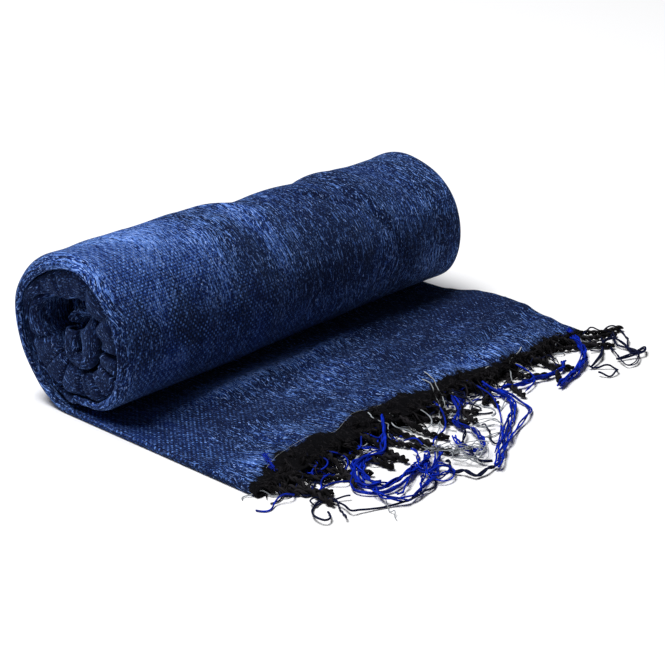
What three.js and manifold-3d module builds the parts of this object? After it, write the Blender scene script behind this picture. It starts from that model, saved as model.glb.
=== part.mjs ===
// A pashmina shawl, folded in half lengthwise and rolled up from one end, with its other end left
// lying flat and its fringe spread in front of it. Millimetres, +Z up.
//
// The origin is on the surface that the shawl rests on, below the middle of the roll's axis. X runs
// along the roll, from the lengthwise fold (-X) to the selvages (+X), and the flat end points to -Y.
//
// The cloth is one doubled sheet. From the cut edge it lies flat as the tail, passes under the roll,
// and goes once round it as the outer turn. The turns inside that are hidden but for their edges,
// so they share one solid with spiral grooves in its two ends.

import * as THREE from "three";
import { mergeVertices } from "three/addons/utils/BufferGeometryUtils.js";
import Module from "manifold-3d";

const { clamp, degToRad, lerp, radToDeg, smoothstep } = THREE.MathUtils;
const quarterTurn = Math.PI / 2;
const fullTurn = 2 * Math.PI;

// ---- Driving sizes ----
const shawlWidth = 700; // selvage to selvage, before it is folded
const foldedWidth = shawlWidth / 2;
const cloth = 1.8; // one ply of brushed weave
const plyAir = 1.6; // between the two plies, where they are rolled
const turnAir = 0.6; // between one turn and the next
const seamGap = 0.35; // between solids that meet
const rollRadius = 55; // from the roll's axis to the surface it rests on
const tailReach = 176; // from the roll's axis to the cut edge
const liftOff = degToRad(13); // where the cloth leaves the surface behind the roll

const plySpread = cloth + plyAir; // between the middles of the two plies
const turnPitch = plySpread + cloth + turnAir; // lost from the radius by each turn
const nearEnd = -foldedWidth / 2;
const farEnd = foldedWidth / 2;

// ---- Folds and undulations ----
// How far the outer turn's face stands off an even spiral, at this many degrees round the roll from
// where it rests (90 is the back, 180 the top). body is along the roll, folded at its folded end.
const rollOutline = [
  { degrees: 0, body: 0.0, folded: 0.0 },
  { degrees: 13, body: 1.6, folded: 1.4 },
  { degrees: 45, body: 0.8, folded: 2.4 },
  { degrees: 75, body: 1.0, folded: 3.8 },
  { degrees: 115, body: 1.8, folded: 6.0 },
  { degrees: 150, body: 2.5, folded: 6.0 },
  { degrees: 185, body: 2.9, folded: 5.8 },
  { degrees: 220, body: 3.4, folded: 4.6 },
  { degrees: 300, body: 4.3, folded: 4.4 },
  { degrees: 325, body: 3.0, folded: 2.4 },
  { degrees: 345, body: 1.0, folded: -2.0 },
  { degrees: 360, body: 0.0, folded: -3.5 },
];
const foldedEndReach = 100; // how far along the roll the folded end's outline fades out
const foldRounding = { depth: 2.5, reach: 12 }; // the roll's edge, drawn in where it is folded

// How much fuller the roll is at each place along it, over its top and down its front. The crests
// and hollows lean a little as they run round the roll.
const rollGirth = [
  { x: -175, top: 3.0, front: 0.0 },
  { x: -155, top: 3.0, front: 0.2 },
  { x: -125, top: 5.1, front: 0.8 },
  { x: -62, top: 6.1, front: 1.6 },
  { x: -36, top: 5.2, front: 0.6 },
  { x: 6, top: 0.1, front: -0.9 },
  { x: 38, top: 0.8, front: 0.7 },
  { x: 70, top: -0.8, front: -1.0 },
  { x: 88, top: 1.0, front: 0.0 },
  { x: 108, top: -1.0, front: 0.8 },
  { x: 128, top: -2.4, front: 1.6 },
  { x: 160, top: -2.4, front: 3.4 },
  { x: 175, top: -1.2, front: 3.2 },
];
const girthLean = 40; // how far along the roll a crest moves in one turn
const girthStraight = 0.42; // the share of a turn at which a crest is at its own x
const girthStarts = [70, 120].map(degToRad); // up the back of the roll
const girthTurnsToFront = [190, 250].map(degToRad);
const girthEnds = [292, 344].map(degToRad); // under the front of the roll

// At the folded end the outer turn's fold is puffed open near the top, and it stands off the hidden
// turns there and at the bottom. degrees is where, spread how far to either side, reach how far
// along the roll.
const puffedFold = { degrees: 152, spread: 49, reach: 60, height: 5.2 };
const slackPlaces = [
  { degrees: 158, spread: 52, reach: 90, height: 1.4 },
  { degrees: 14, spread: 32, reach: 90, height: 4 },
];

// Where the upper ply stands up off the under ply, near its cut edge. at is along X, and width is
// how far the crest runs to either side.
const edgeScallops = [
  { at: -146, height: 4.0, width: 32 },
  { at: -108, height: 9.0, width: 34 },
  { at: -62, height: 7.0, width: 32 },
  { at: -20, height: 10.0, width: 38 },
  { at: 36, height: 8.5, width: 36 },
  { at: 86, height: 9.5, width: 34 },
  { at: 132, height: 7.0, width: 32 },
];
const scallopDepth = 66; // from the cut edge to where the scallops start to rise
const droopDepth = 17; // the last of the upper ply, which hangs down to its cut edge
const droopShare = 0.6; // of the scallop's height
const foldHoldsDown = { share: 0.7, reach: 40 }; // the lengthwise fold keeps the plies together

// How unevenly the upper ply's edge is cut, as waves of this length in X.
const edgeWaves = [
  { amount: 2.2, wave: 107, start: 0 },
  { amount: 1.3, wave: 46, start: 1 },
];
const underEdgeShare = 0.1; // the under ply's edge is straighter
const edgeWaveDepth = 40; // how far in from the edge the waves start

// Air under the upper ply, away from the cut edge. reach is the distance from the roll's axis.
const tailPuffs = [
  { at: 172, reach: 101, height: 8.8, width: 104, depth: 64 },
  { at: 20, reach: 90, height: 3.4, width: 90, depth: 20 },
  { at: -95, reach: 94, height: 2.6, width: 60, depth: 24 },
  { at: -40, reach: 138, height: 1.8, width: 50, depth: 22 },
];

// One wave of a soft fold: 1 at its crest and 0 from one width away.
function crest(distance, width) {
  const t = Math.min(1, Math.abs(distance) / width);
  return 0.5 + 0.5 * Math.cos(Math.PI * t);
}

// 1 at the folded end, fading to 0 this far along the roll.
const nearFold = (x, reach) => 1 - smoothstep(x, nearEnd, nearEnd + reach);

// The value of a table's column between its rows, eased from each row to the next.
function between(rows, key, column, at) {
  const found = rows.findIndex((row) => row[key] >= at);
  const next = found < 0 ? rows.length - 1 : Math.max(1, found);
  const [a, b] = [rows[next - 1], rows[next]];
  return lerp(a[column], b[column], smoothstep(at, a[key], b[key]));
}

// The distance from the roll's axis to the outer face of the outer turn.
function outerFace(x, turn) {
  const outline = (column) => between(rollOutline, "degrees", column, radToDeg(turn));
  const standOff = lerp(outline("body"), outline("folded"), nearFold(x, foldedEndReach));
  const place = x - girthLean * (turn / fullTurn - girthStraight);
  const girth = (column) => between(rollGirth, "x", column, place);
  const fuller = lerp(girth("top"), girth("front"), smoothstep(turn, ...girthTurnsToFront));
  const window = smoothstep(turn, ...girthStarts) * (1 - smoothstep(turn, ...girthEnds));
  const rounding = foldRounding.depth * nearFold(x, foldRounding.reach) ** 2;
  const radius = rollRadius - (turnPitch * turn) / fullTurn + standOff + fuller * window
    - rounding * smoothstep(turn, liftOff, 1);
  return turn < quarterTurn ? Math.min(radius, rollRadius / Math.cos(turn)) : radius;
}

const atFoldedEnd = ({ degrees, spread, reach, height }, x, turn) =>
  height * nearFold(x, reach) * crest(radToDeg(turn) - degrees, spread);

// The distance between the middles of the outer turn's plies.
const rolledSpread = (x, turn) => plySpread + atFoldedEnd(puffedFold, x, turn);

const slack = (x, turn) => slackPlaces.reduce((sum, place) => sum + atFoldedEnd(place, x, turn), 0);

// The upper ply's height over the under ply, between their middles, where they lie flat.
function tailSpread(x, reach) {
  const alongEdge = edgeScallops.reduce((sum, s) => sum + s.height * crest(x - s.at, s.width), 0);
  const droopStart = tailReach - droopDepth;
  const nearEdge = smoothstep(reach, tailReach - scallopDepth, droopStart)
    * (1 - droopShare * smoothstep(reach, droopStart, tailReach));
  const puff = tailPuffs.reduce(
    (sum, p) => sum + p.height * crest(x - p.at, p.width) * crest(reach - p.reach, p.depth), 0);
  const free = 1 - foldHoldsDown.share * nearFold(x, foldHoldsDown.reach);
  return plySpread + free * (puff + alongEdge * nearEdge);
}

// ---- The doubled sheet ----
// A point in the middle of the cloth. station goes across the doubled sheet: from -1 to 1 it bends
// round the lengthwise fold, below -1 it is in the under ply, and above 1 in the upper ply, in
// millimetres past the bend. turn is the angle round the roll, and along the tail it is minus the
// distance from the axis, over the roll's radius.
function sheetPoint(station, turn) {
  const bend = clamp(station, -1, 1) * quarterTurn;
  const rise = 0.5 + 0.5 * Math.sin(bend);
  const past = Math.max(0, Math.abs(station) - 1);
  const x = nearEnd + cloth / 2 + (plySpread / 2) * (1 - Math.cos(bend)) + past;
  if (turn < 0) {
    const reach = -turn * rollRadius;
    const ragged = edgeWaves.reduce(
      (sum, { amount, wave, start }) => sum + amount * Math.sin((fullTurn * x) / wave + start), 0);
    const edgeShift = ragged * lerp(underEdgeShare, 1, rise)
      * smoothstep(reach, tailReach - edgeWaveDepth, tailReach);
    return new THREE.Vector3(x, edgeShift - reach, cloth / 2 + rise * tailSpread(x, reach));
  }
  return onRoll(x, outerFace(x, turn) - cloth / 2 - rise * rolledSpread(x, turn), turn);
}

const onRoll = (x, radius, turn) =>
  new THREE.Vector3(x, radius * Math.sin(turn), rollRadius - radius * Math.cos(turn));

// ---- Meshes from points ----
function closedGeometry(points, faces) {
  const geometry = new THREE.BufferGeometry().setFromPoints(points);
  geometry.setIndex(faces.flat());
  geometry.computeVertexNormals();
  return geometry;
}

// A wall of cloth along the surface pointAt(u, v): each point of the grid moves half the thickness
// to either side along the surface's normal, and a rim of faces closes the four edges.
function clothWall(pointAt, us, vs, thickness) {
  const [stepU, stepV] = [0.01, 0.0005];
  const sides = [1, -1].map((side) => us.flatMap((u) => vs.map((v) => {
    const alongU = pointAt(u + stepU, v).sub(pointAt(u - stepU, v));
    const alongV = pointAt(u, v + stepV).sub(pointAt(u, v - stepV));
    const normal = alongU.cross(alongV).normalize();
    return pointAt(u, v).addScaledVector(normal, (side * thickness) / 2);
  })));
  const count = us.length * vs.length;
  const at = (i, j, side = 0) => i * vs.length + j + side * count;
  const faces = [];
  const quad = (a, b, c, d) => faces.push([a, b, c], [a, c, d]);
  const [lastU, lastV] = [us.length - 1, vs.length - 1];
  for (let i = 0; i < lastU; i++) {
    for (let j = 0; j < lastV; j++) {
      quad(at(i, j), at(i + 1, j), at(i + 1, j + 1), at(i, j + 1));
      quad(at(i, j, 1), at(i, j + 1, 1), at(i + 1, j + 1, 1), at(i + 1, j, 1));
    }
    quad(at(i, 0), at(i, 0, 1), at(i + 1, 0, 1), at(i + 1, 0));
    quad(at(i + 1, lastV), at(i + 1, lastV, 1), at(i, lastV, 1), at(i, lastV));
  }
  for (let j = 0; j < lastV; j++) {
    quad(at(0, j + 1), at(0, j + 1, 1), at(0, j, 1), at(0, j));
    quad(at(lastU, j), at(lastU, j, 1), at(lastU, j + 1, 1), at(lastU, j + 1));
  }
  return closedGeometry(sides.flat(), faces);
}

const spaced = (from, to, count) => Array.from({ length: count + 1 }, (_, i) => lerp(from, to, i / count));

// Stations across one ply, from the bend to the selvage, closer together near the bend where crowd
// is over 1.
const selvage = foldedWidth - cloth - plySpread / 2 + 1;
const plyStations = (count, crowd) => spaced(0, 1, count).map((t) => lerp(1, selvage, t ** crowd));
const mirrored = (stations) => stations.map((s) => -s).reverse();

const tailStations = { under: plyStations(8, 1.3), upper: plyStations(26, 1.1) };
const rollStations = { under: plyStations(20, 1.15), upper: plyStations(10, 1.5) };
const doubled = ({ under, upper }) => [...mirrored(under), -0.5, 0, 0.5, ...upper];

const tailReaches = [tailReach, 170, 160, 148, 134, 119, 104, 90, 76, 60, 40, 0.01];
const tailTurns = [...tailReaches.map((reach) => -reach / rollRadius), liftOff / 2, liftOff];
const rollTurns = spaced(liftOff + seamGap / rollRadius, fullTurn - seamGap / rollRadius, 28);

// ---- Solids for cutting and joining ----
const wasm = await Module();
wasm.setup();

function solidOf(geometry) {
  const bare = geometry.clone();
  ["normal", "uv"].forEach((name) => bare.deleteAttribute(name));
  const merged = mergeVertices(bare, 1e-4);
  return new wasm.Manifold(new wasm.Mesh({
    numProp: 3,
    vertProperties: new Float32Array(merged.attributes.position.array),
    triVerts: new Uint32Array(merged.index.array),
  }));
}

function geometryOf(solid) {
  const mesh = solid.getMesh();
  const geometry = new THREE.BufferGeometry();
  geometry.setAttribute("position", new THREE.BufferAttribute(new Float32Array(mesh.vertProperties), 3));
  geometry.setIndex(new THREE.BufferAttribute(new Uint32Array(mesh.triVerts), 1));
  geometry.computeVertexNormals();
  return geometry;
}

// ---- The hidden turns ----
// The outer face of the hidden turns, just inside the outer turn.
const hiddenFace = (x, turn) =>
  outerFace(x, turn) - cloth - rolledSpread(x, turn) - seamGap - slack(x, turn);

// Rings of the hidden turns at their two ends: the distance from the end, and how far the ring lies
// inside the outer turn. The first ring of each is the rim of a flat cap.
const foldedEndRings = [
  { fromEnd: 8.5, inset: 26 },
  { fromEnd: 5, inset: 15 },
  { fromEnd: 2.2, inset: 5.5 },
  { fromEnd: 3, inset: 2 },
  { fromEnd: 6, inset: 1.2 },
];
const selvageEndRings = [
  { fromEnd: 3.4, inset: 24 },
  { fromEnd: 1.8, inset: 4 },
  { fromEnd: 2.6, inset: 0.6 },
];
const endRingDepth = 8; // the rings of the body between them keep this far from both ends

function hiddenBody() {
  const bendDepth = cloth / 2 + plySpread / 2 - 1;
  const middle = rollStations.upper.map((s) => nearEnd + bendDepth + s)
    .filter((x) => x > nearEnd + endRingDepth && x < farEnd - endRingDepth);
  const rings = [
    ...foldedEndRings.map(({ fromEnd, inset }) => ({ x: nearEnd + fromEnd, inset })),
    ...middle.map((x) => ({ x, inset: 0 })),
    ...selvageEndRings.map(({ fromEnd, inset }) => ({ x: farEnd - fromEnd, inset })).reverse(),
  ];
  const turns = [0, ...rollTurns, fullTurn];
  const points = rings.flatMap(({ x, inset }) =>
    turns.map((turn) => onRoll(x, hiddenFace(x, turn) - inset, turn)));
  const perRing = turns.length;
  const faces = [];
  for (let ring = 0; ring + 1 < rings.length; ring++) {
    for (let i = 0; i < perRing; i++) {
      const [a, b] = [ring * perRing + i, ring * perRing + ((i + 1) % perRing)];
      faces.push([a, b, b + perRing], [a, b + perRing, a + perRing]);
    }
  }
  [0, rings.length - 1].forEach((ring, isFar) => {
    const centre = points.push(onRoll(rings[ring].x, 0, 0)) - 1;
    for (let i = 0; i < perRing; i++) {
      const [a, b] = [ring * perRing + i, ring * perRing + ((i + 1) % perRing)];
      faces.push(isFar ? [centre, a, b] : [centre, b, a]);
    }
  });
  return solidOf(closedGeometry(points, faces));
}

// A groove between the turns, sunk into one end of the roll: a wedge with its wide side out, carried
// along the spiral. inward is 1 at the folded end and -1 at the selvages. The outermost grooves
// follow the outer turn's folds, and the spiral is even from the third turn in.
const groove = { perTurn: 14, mouth: 2.6, root: 0.3, outside: 10, firstTurn: 0.3 };
const grooveEvensOut = [0.6, 2.6]; // in turns

function turnGroove({ endX, inward, depth, turns }) {
  const stations = spaced(groove.firstTurn, turns * fullTurn, Math.round(turns * groove.perTurn));
  const [outX, deepX] = [endX - inward * groove.outside, endX + inward * depth];
  const points = stations.flatMap((turn) => {
    const [whole, part] = [Math.floor(turn / fullTurn), turn % fullTurn];
    const follow = hiddenFace(endX, part) - turnPitch * (whole + 1);
    const even = rollRadius - cloth - plySpread - turnPitch * (1 + turn / fullTurn);
    const radius = lerp(follow, even, smoothstep(turn / fullTurn, ...grooveEvensOut));
    return [
      onRoll(outX, radius + groove.mouth, turn), onRoll(deepX, radius + groove.root, turn),
      onRoll(deepX, radius - groove.root, turn), onRoll(outX, radius - groove.mouth, turn),
    ];
  });
  const corners = 4;
  const faces = [];
  for (let s = 0; s + 1 < stations.length; s++) {
    for (let c = 0; c < corners; c++) {
      const [a, b] = [s * corners + c, s * corners + ((c + 1) % corners)];
      faces.push([a, a + corners, b + corners], [a, b + corners, b]);
    }
  }
  const last = (stations.length - 1) * corners;
  faces.push([0, 1, 2], [0, 2, 3], [last, last + 2, last + 1], [last, last + 3, last + 2]);
  const outward = inward > 0 ? faces : faces.map((face) => [...face].reverse());
  return solidOf(closedGeometry(points, outward));
}

const grooves = [
  { endX: nearEnd + 2.5, inward: 1, depth: 9, turns: 3.1 },
  { endX: farEnd - 2, inward: -1, depth: 5, turns: 2.6 },
];

// Slack pockets in the folded end: one over the innermost folds and one behind them.
const pocketFromEnd = 3;
const pockets = [
  { y: 7, z: 72, deep: 30, wide: 18, high: 8.5 },
  { y: 19, z: 52, deep: 18, wide: 4.5, high: 13 },
];

function pocketSolid({ y, z, deep, wide, high }) {
  const round = new THREE.SphereGeometry(1, 12, 8);
  round.scale(deep, wide, high);
  round.translate(nearEnd + pocketFromEnd, y, z);
  return solidOf(round);
}

function hiddenTurnsGeometry() {
  const cuts = [...grooves.map(turnGroove), ...pockets.map(pocketSolid)];
  return geometryOf(cuts.reduce((solid, cut) => solid.subtract(cut), hiddenBody()));
}

// ---- The fringe ----
// A row of strands stands on a narrow strip along its ply's cut edge. Tassels are twists of dark
// warp ends, and yarns have sprung free in open waves. The two rows' lanes lie between each other.
const strandLanes = 28;
const laneMargin = 7;
const stripDepth = 2.6;
const rootDepth = 1.8; // how far past the cut edge a strand's root starts
const strandClearance = 0.25; // over the surface
const tassel = { radius: 1.3, corners: 4, steps: 4, length: 46, vary: 7, longer: 0, sway: 0, pitch: 40 };
const yarn = { radius: 0.65, corners: 3, steps: 11, length: 58, vary: 9, longer: 24, sway: 1.5, pitch: 25 };
const yarnLanes = [1, 3]; // of each five
const longYarns = { at: -88, width: 80 }; // along X
const laneStep = 2.4; // radians between one strand's length in the wave of lengths and the next's

// The way that the strands lie, in degrees from straight ahead towards the selvages, by place along
// X: they fan out towards the far corner, from its start.
const fan = { ahead: 7, waver: 3, wave: 132, corner: 52, start: 95 };
const strandHeading = (x) => degToRad(fan.ahead + fan.waver * Math.sin((fullTurn * x) / fan.wave)
  + fan.corner * (Math.max(0, x - fan.start) / (farEnd - fan.start)) ** 2);

function strandSolid(kind, side, x, lane) {
  const station = side * (x - nearEnd - cloth / 2 - plySpread / 2 + 1);
  const root = sheetPoint(station, -(tailReach + rootDepth) / rollRadius);
  const length = kind.length + kind.vary * Math.sin(lane * laneStep)
    + kind.longer * crest(x - longYarns.at, longYarns.width);
  const heading = strandHeading(x);
  const rest = kind.radius + strandClearance;
  const start = Math.max(root.z, rest);
  const [fallStart, fallEnd] = [stripDepth, 10 + 2 * start];
  const points = spaced(0, length, 3 * Math.ceil(length / kind.pitch) + 3).map((s) => {
    const fall = smoothstep(s, fallStart, fallEnd);
    const swing = kind.sway * smoothstep(s, stripDepth, kind.pitch / 2);
    const phase = (fullTurn * s) / kind.pitch + lane;
    const aside = swing * Math.sin(phase);
    return new THREE.Vector3(
      root.x + s * Math.sin(heading) + aside * Math.cos(heading),
      root.y - s * Math.cos(heading) + aside * Math.sin(heading),
      lerp(start, rest, fall) + swing * (1 + Math.cos(phase)),
    );
  });
  const section = new THREE.Shape(spaced(0, fullTurn, kind.corners).slice(1)
    .map((a) => new THREE.Vector2(kind.radius * Math.cos(a), kind.radius * Math.sin(a))));
  return solidOf(new THREE.ExtrudeGeometry(section, {
    steps: kind.steps, bevelEnabled: false, extrudePath: new THREE.CatmullRomCurve3(points),
  }));
}

function fringeGeometry(side, laneShift) {
  const stations = side > 0 ? tailStations.upper : mirrored(tailStations.under);
  const edges = [tailReach + stripDepth, tailReach + seamGap].map((reach) => -reach / rollRadius);
  const strip = solidOf(clothWall(sheetPoint, stations, edges, cloth));
  const strands = Array.from({ length: strandLanes }, (_, lane) => {
    const x = lerp(nearEnd + laneMargin, farEnd - laneMargin, (lane + laneShift) / strandLanes);
    return strandSolid(yarnLanes.includes(lane % 5) ? yarn : tassel, side, x, lane);
  });
  return geometryOf(strands.reduce((row, strand) => row.add(strand), strip));
}

// ---- The part ----
const [blue, deepBlue, black] = [0x24396f, 0x1b2a55, 0x15161c];

const pieces = [
  ["tail", clothWall(sheetPoint, doubled(tailStations), tailTurns, cloth), blue],
  ["outer_turn", clothWall(sheetPoint, doubled(rollStations), rollTurns, cloth), blue],
  ["hidden_turns", hiddenTurnsGeometry(), deepBlue],
  ["fringe_upper", fringeGeometry(1, 0.25), black],
  ["fringe_under", fringeGeometry(-1, 0.75), black],
];

const shawl = new THREE.Group();
for (const [name, geometry, color] of pieces) {
  const finish = new THREE.MeshStandardMaterial({ color, roughness: 0.95, metalness: 0 });
  finish.name = `${name}_finish`;
  const mesh = new THREE.Mesh(geometry, finish);
  mesh.name = name;
  shawl.add(mesh);
}

export default shawl;
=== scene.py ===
"""A pashmina shawl, folded in half lengthwise and rolled up from one end, with its other end lying
flat and its fringe spread in front of it.

The frame is metres, +Z up, with the origin on the resting surface below the middle of the roll's
axis. X runs along the roll, from the lengthwise fold (-X) to the selvages (+X), and the flat end
points to -Y. The forms are worked out in millimetres and scaled when they become meshes.
"""

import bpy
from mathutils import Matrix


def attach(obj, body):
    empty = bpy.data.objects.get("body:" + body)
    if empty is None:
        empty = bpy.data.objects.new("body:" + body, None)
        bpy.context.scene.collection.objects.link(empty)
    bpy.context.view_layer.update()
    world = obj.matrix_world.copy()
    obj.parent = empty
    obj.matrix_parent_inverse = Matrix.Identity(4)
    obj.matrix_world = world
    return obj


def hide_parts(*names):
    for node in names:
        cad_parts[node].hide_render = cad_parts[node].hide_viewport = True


bl_info = {
    "name": "Rolled pashmina shawl",
    "version": (1, 0, 0),
    "blender": (4, 5, 0),
    "location": "3D View > Sidebar > Shawl",
    "description": "Builds a rolled shawl of heathered cloth, its fringe and a small studio",
    "category": "Add Mesh",
}

import bpy
import numpy as np
from bpy.props import FloatProperty, FloatVectorProperty, IntProperty, PointerProperty
from mathutils import Vector

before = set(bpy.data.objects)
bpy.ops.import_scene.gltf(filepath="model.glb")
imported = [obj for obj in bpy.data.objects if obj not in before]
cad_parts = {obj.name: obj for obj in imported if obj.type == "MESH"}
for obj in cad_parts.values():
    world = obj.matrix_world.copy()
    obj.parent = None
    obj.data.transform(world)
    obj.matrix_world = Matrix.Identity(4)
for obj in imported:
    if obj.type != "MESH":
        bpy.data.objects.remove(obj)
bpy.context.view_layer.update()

MM = 0.001
FULL_TURN = 2 * np.pi
RESTING_DEGREES = 13.0  # where the cloth leaves the surface behind the roll


def table(columns, *rows):
    """A short table as one array for each named column."""
    return dict(zip(columns.split(), np.array(rows, float).T))


# How far the outer turn stands off an even spiral, at this many degrees round the roll from where it
# rests (90 is the back, 180 the top): along the roll (body) and at its folded end (folded), in mm.
ROLL_OUTLINE = table(
    "degrees body folded",
    (0, 0.0, 0.0), (13, 1.6, 1.4), (45, 0.8, 2.4), (75, 1.0, 3.8), (115, 1.8, 6.0), (150, 2.5, 6.0),
    (185, 2.9, 5.8), (220, 3.4, 4.6), (300, 4.3, 4.4), (325, 3.0, 2.4), (345, 1.0, -2.0),
    (360, 0.0, -3.5),
)
# How much fuller the roll is at each place along it, over its top and down its front, in mm.
ROLL_GIRTH = table(
    "x top front",
    (-175, 3.0, 0.0), (-155, 3.0, 0.2), (-125, 5.1, 0.8), (-62, 6.1, 1.6), (-36, 5.2, 0.6),
    (6, 0.1, -0.9), (38, 0.8, 0.7), (70, -0.8, -1.0), (88, 1.0, 0.0), (108, -1.0, 0.8), (128, -2.4, 1.6),
    (160, -2.4, 3.4), (175, -1.2, 3.2),
)
# Soft creases on the roll. Each crosses x at its own degrees and leans along the roll as it goes
# round; depth is negative for a trough and positive for a ridge.
ROLL_CREASES = table(
    "x degrees lean spread width depth",
    (-30, 186, 46, 46, 7, -1.6), (-18, 184, 44, 44, 8, 1.1), (48, 196, 58, 40, 6, -2.0),
    (60, 200, 60, 44, 8, 1.2), (84, 222, 30, 60, 9, -1.4), (100, 236, 26, 64, 10, 1.0),
    (-96, 214, -24, 50, 10, -0.9), (-120, 188, -30, 44, 9, 0.8), (128, 206, 22, 50, 10, -1.1),
    (18, 262, -20, 54, 12, -1.0), (-60, 268, 24, 50, 12, 0.9), (-140, 120, 20, 50, 10, -1.2),
    (-70, 104, -26, 60, 12, -1.2), (10, 96, 24, 60, 14, 1.2), (80, 118, -22, 56, 12, -1.3),
    (140, 92, 16, 50, 12, 1.0),
)
# The folds of the turns inside the outer one, where they show at the folded end. degrees runs on
# from the outer turn's 360; ply is how much further the two plies part, air how far the next turn
# in stands off, and spread how far to either side, in degrees.
LOOSE_FOLDS = table(
    "degrees spread reach ply air",
    (0, 60, 100, 0, 3.5), (152, 49, 60, 5.2, 1.4), (540, 88, 62, 19, 0), (628, 86, 62, 17, 0),
    (712, 84, 62, 18, 0), (780, 64, 62, 22, 0),
)
# How far each hidden turn's fold is drawn in from the folded end, in mm.
DRAWN_IN = table(
    "degrees inset tilt",
    (360, 0, 0), (384, 4, 2), (446, 5, 2), (482, 1, 3), (540, 0.6, 4), (640, 0.6, 2), (720, 0.4, 2),
    (790, 0.6, 2), (834, 3, 3), (866, 26, 3), (900, 36, 2), (2520, 40, 2),
)
# Where those folds are pinched in, in degrees and mm.
PINCHES = table(
    "degrees width depth",
    (496, 7, 2), (522, 6, 1.4), (561, 6, 2), (592, 7, 3), (629, 5, 7), (648, 4, 6), (676, 6, 2.6),
    (706, 7, 1.8), (742, 6, 2.4), (768, 5, 2), (800, 6, 3),
)
# The innermost folds, seen from the folded end: the middle of the doubled cloth, from the roll's axis,
# how far its fold is drawn in, and how far apart its plies are. They wind round a slack hollow, down
# the right side, and end in a small upright lump.
INNERMOST = table(
    "y z inset width",
    (24, 9, 17, 12), (17, 17, 19, 13), (5, 21, 20, 13), (-8, 20, 15, 13), (-15, 13, 5, 16),
    (-15.5, 5, 3, 19), (-15.5, -3, 2.5, 15), (-13, -11, 2.5, 11), (-5, -14, 2.2, 11), (3, -10, 2, 10.5),
    (3, 0, 1.5, 11), (2.5, 8, 3, 10),
)
# Where the flat end's upper ply stands up off the under ply, near its cut edge, in mm.
EDGE_SCALLOPS = table(
    "x width height",
    (-146, 32, 4.0), (-108, 34, 9.0), (-62, 32, 7.0), (-20, 38, 10.0), (36, 36, 8.5), (86, 34, 9.5),
    (132, 32, 7.0),
)
# Air under the upper ply away from the cut edge; reach is the distance from the roll's axis.
TAIL_PUFFS = table(
    "x reach width depth height",
    (172, 101, 104, 64, 8.8), (20, 90, 90, 20, 3.4), (-60, 58, 130, 26, 6.5), (60, 56, 90, 22, 4.0),
    (-104, 104, 60, 26, 3.0), (-40, 134, 56, 20, 2.4), (96, 128, 64, 16, 4.2), (60, 112, 60, 12, -1.6),
    (138, 148, 60, 10, 3.2), (112, 136, 56, 8, -2.4), (150, 124, 44, 9, 2.6), (58, 146, 44, 9, 2.4),
    (-20, 118, 60, 9, 2.0), (-100, 126, 50, 9, 1.8), (130, 100, 50, 9, -2.2),
)
# Soft patches of tone: +1 moves toward royal blue and -1 toward the undyed brown. Some are patches of
# dye and some are painted light and shade. place is in degrees round the roll, and on the flat end it is
# the distance from the roll's axis.
# Painted light and shade on the roll: the bright patches over the near part of the crown are a painted
# highlight, and the long dark band along the whole front (262 degrees) and the broad dark patch on the top
# near x 70 mm are painted shade.
ROLL_TONES_AND_PAINTED_LIGHT = table(
    "x place width spread tone",
    (-124, 186, 34, 56, 0.6), (-136, 238, 16, 20, 0.8), (-44, 226, 30, 50, -0.7), (40, 226, 26, 40, -0.4),
    (-112, 258, 22, 24, -0.9), (-16, 238, 20, 46, 0.7), (-126, 280, 18, 16, 1.0), (91, 262, 26, 30, 0.8),
    (141, 286, 22, 40, 0.9), (-22, 192, 24, 24, 1.1), (-69, 178, 20, 24, -0.7), (120, 236, 40, 26, 0.4),
    (-75, 230, 20, 50, 0.4), (0, 110, 60, 50, 0.8), (-110, 90, 40, 40, -0.8), (90, 130, 50, 40, -0.5),
    (60, 80, 50, 30, 0.8), (-60, 140, 50, 30, 0.5), (-142, 192, 150, 50, 1.0), (0, 262, 600, 26, -0.5),
    (70, 210, 150, 120, -0.6),
)
# Painted light and shade on the flat end: the strong bright band just in front of the roll's foot (tone 2.6)
# is painted light where the roll's shadow falls, and the broad dimming over the whole flat end (tone -0.65)
# is painted shade.
TAIL_TONES_AND_PAINTED_LIGHT = table(
    "x place width spread tone",
    (-50, 50, 150, 22, 2.6), (-108, 86, 40, 30, -0.9), (-104, 134, 30, 20, 0.6), (150, 92, 40, 50, -0.4),
    (-20, 96, 60, 26, 0.5), (60, 156, 90, 14, 0.7), (-70, 120, 40, 20, -0.5), (20, 124, 50, 18, -0.5),
    (-150, 150, 26, 20, 0.7), (110, 110, 40, 16, 0.6), (150, 80, 200, 90, -0.8),
    (0, 100, 600, 110, -0.65),
)
# How far in from the cut edge the warp is bare and black, in mm.
FRAYED_DEPTH = table(
    "x depth",
    (-176, 3), (-166, 9), (-150, 17), (-128, 19), (-104, 14), (-84, 16), (-60, 21), (-36, 17), (-14, 13),
    (14, 14), (40, 8), (66, 8), (96, 3.5), (126, 3), (150, 2), (176, 3),
)
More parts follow.
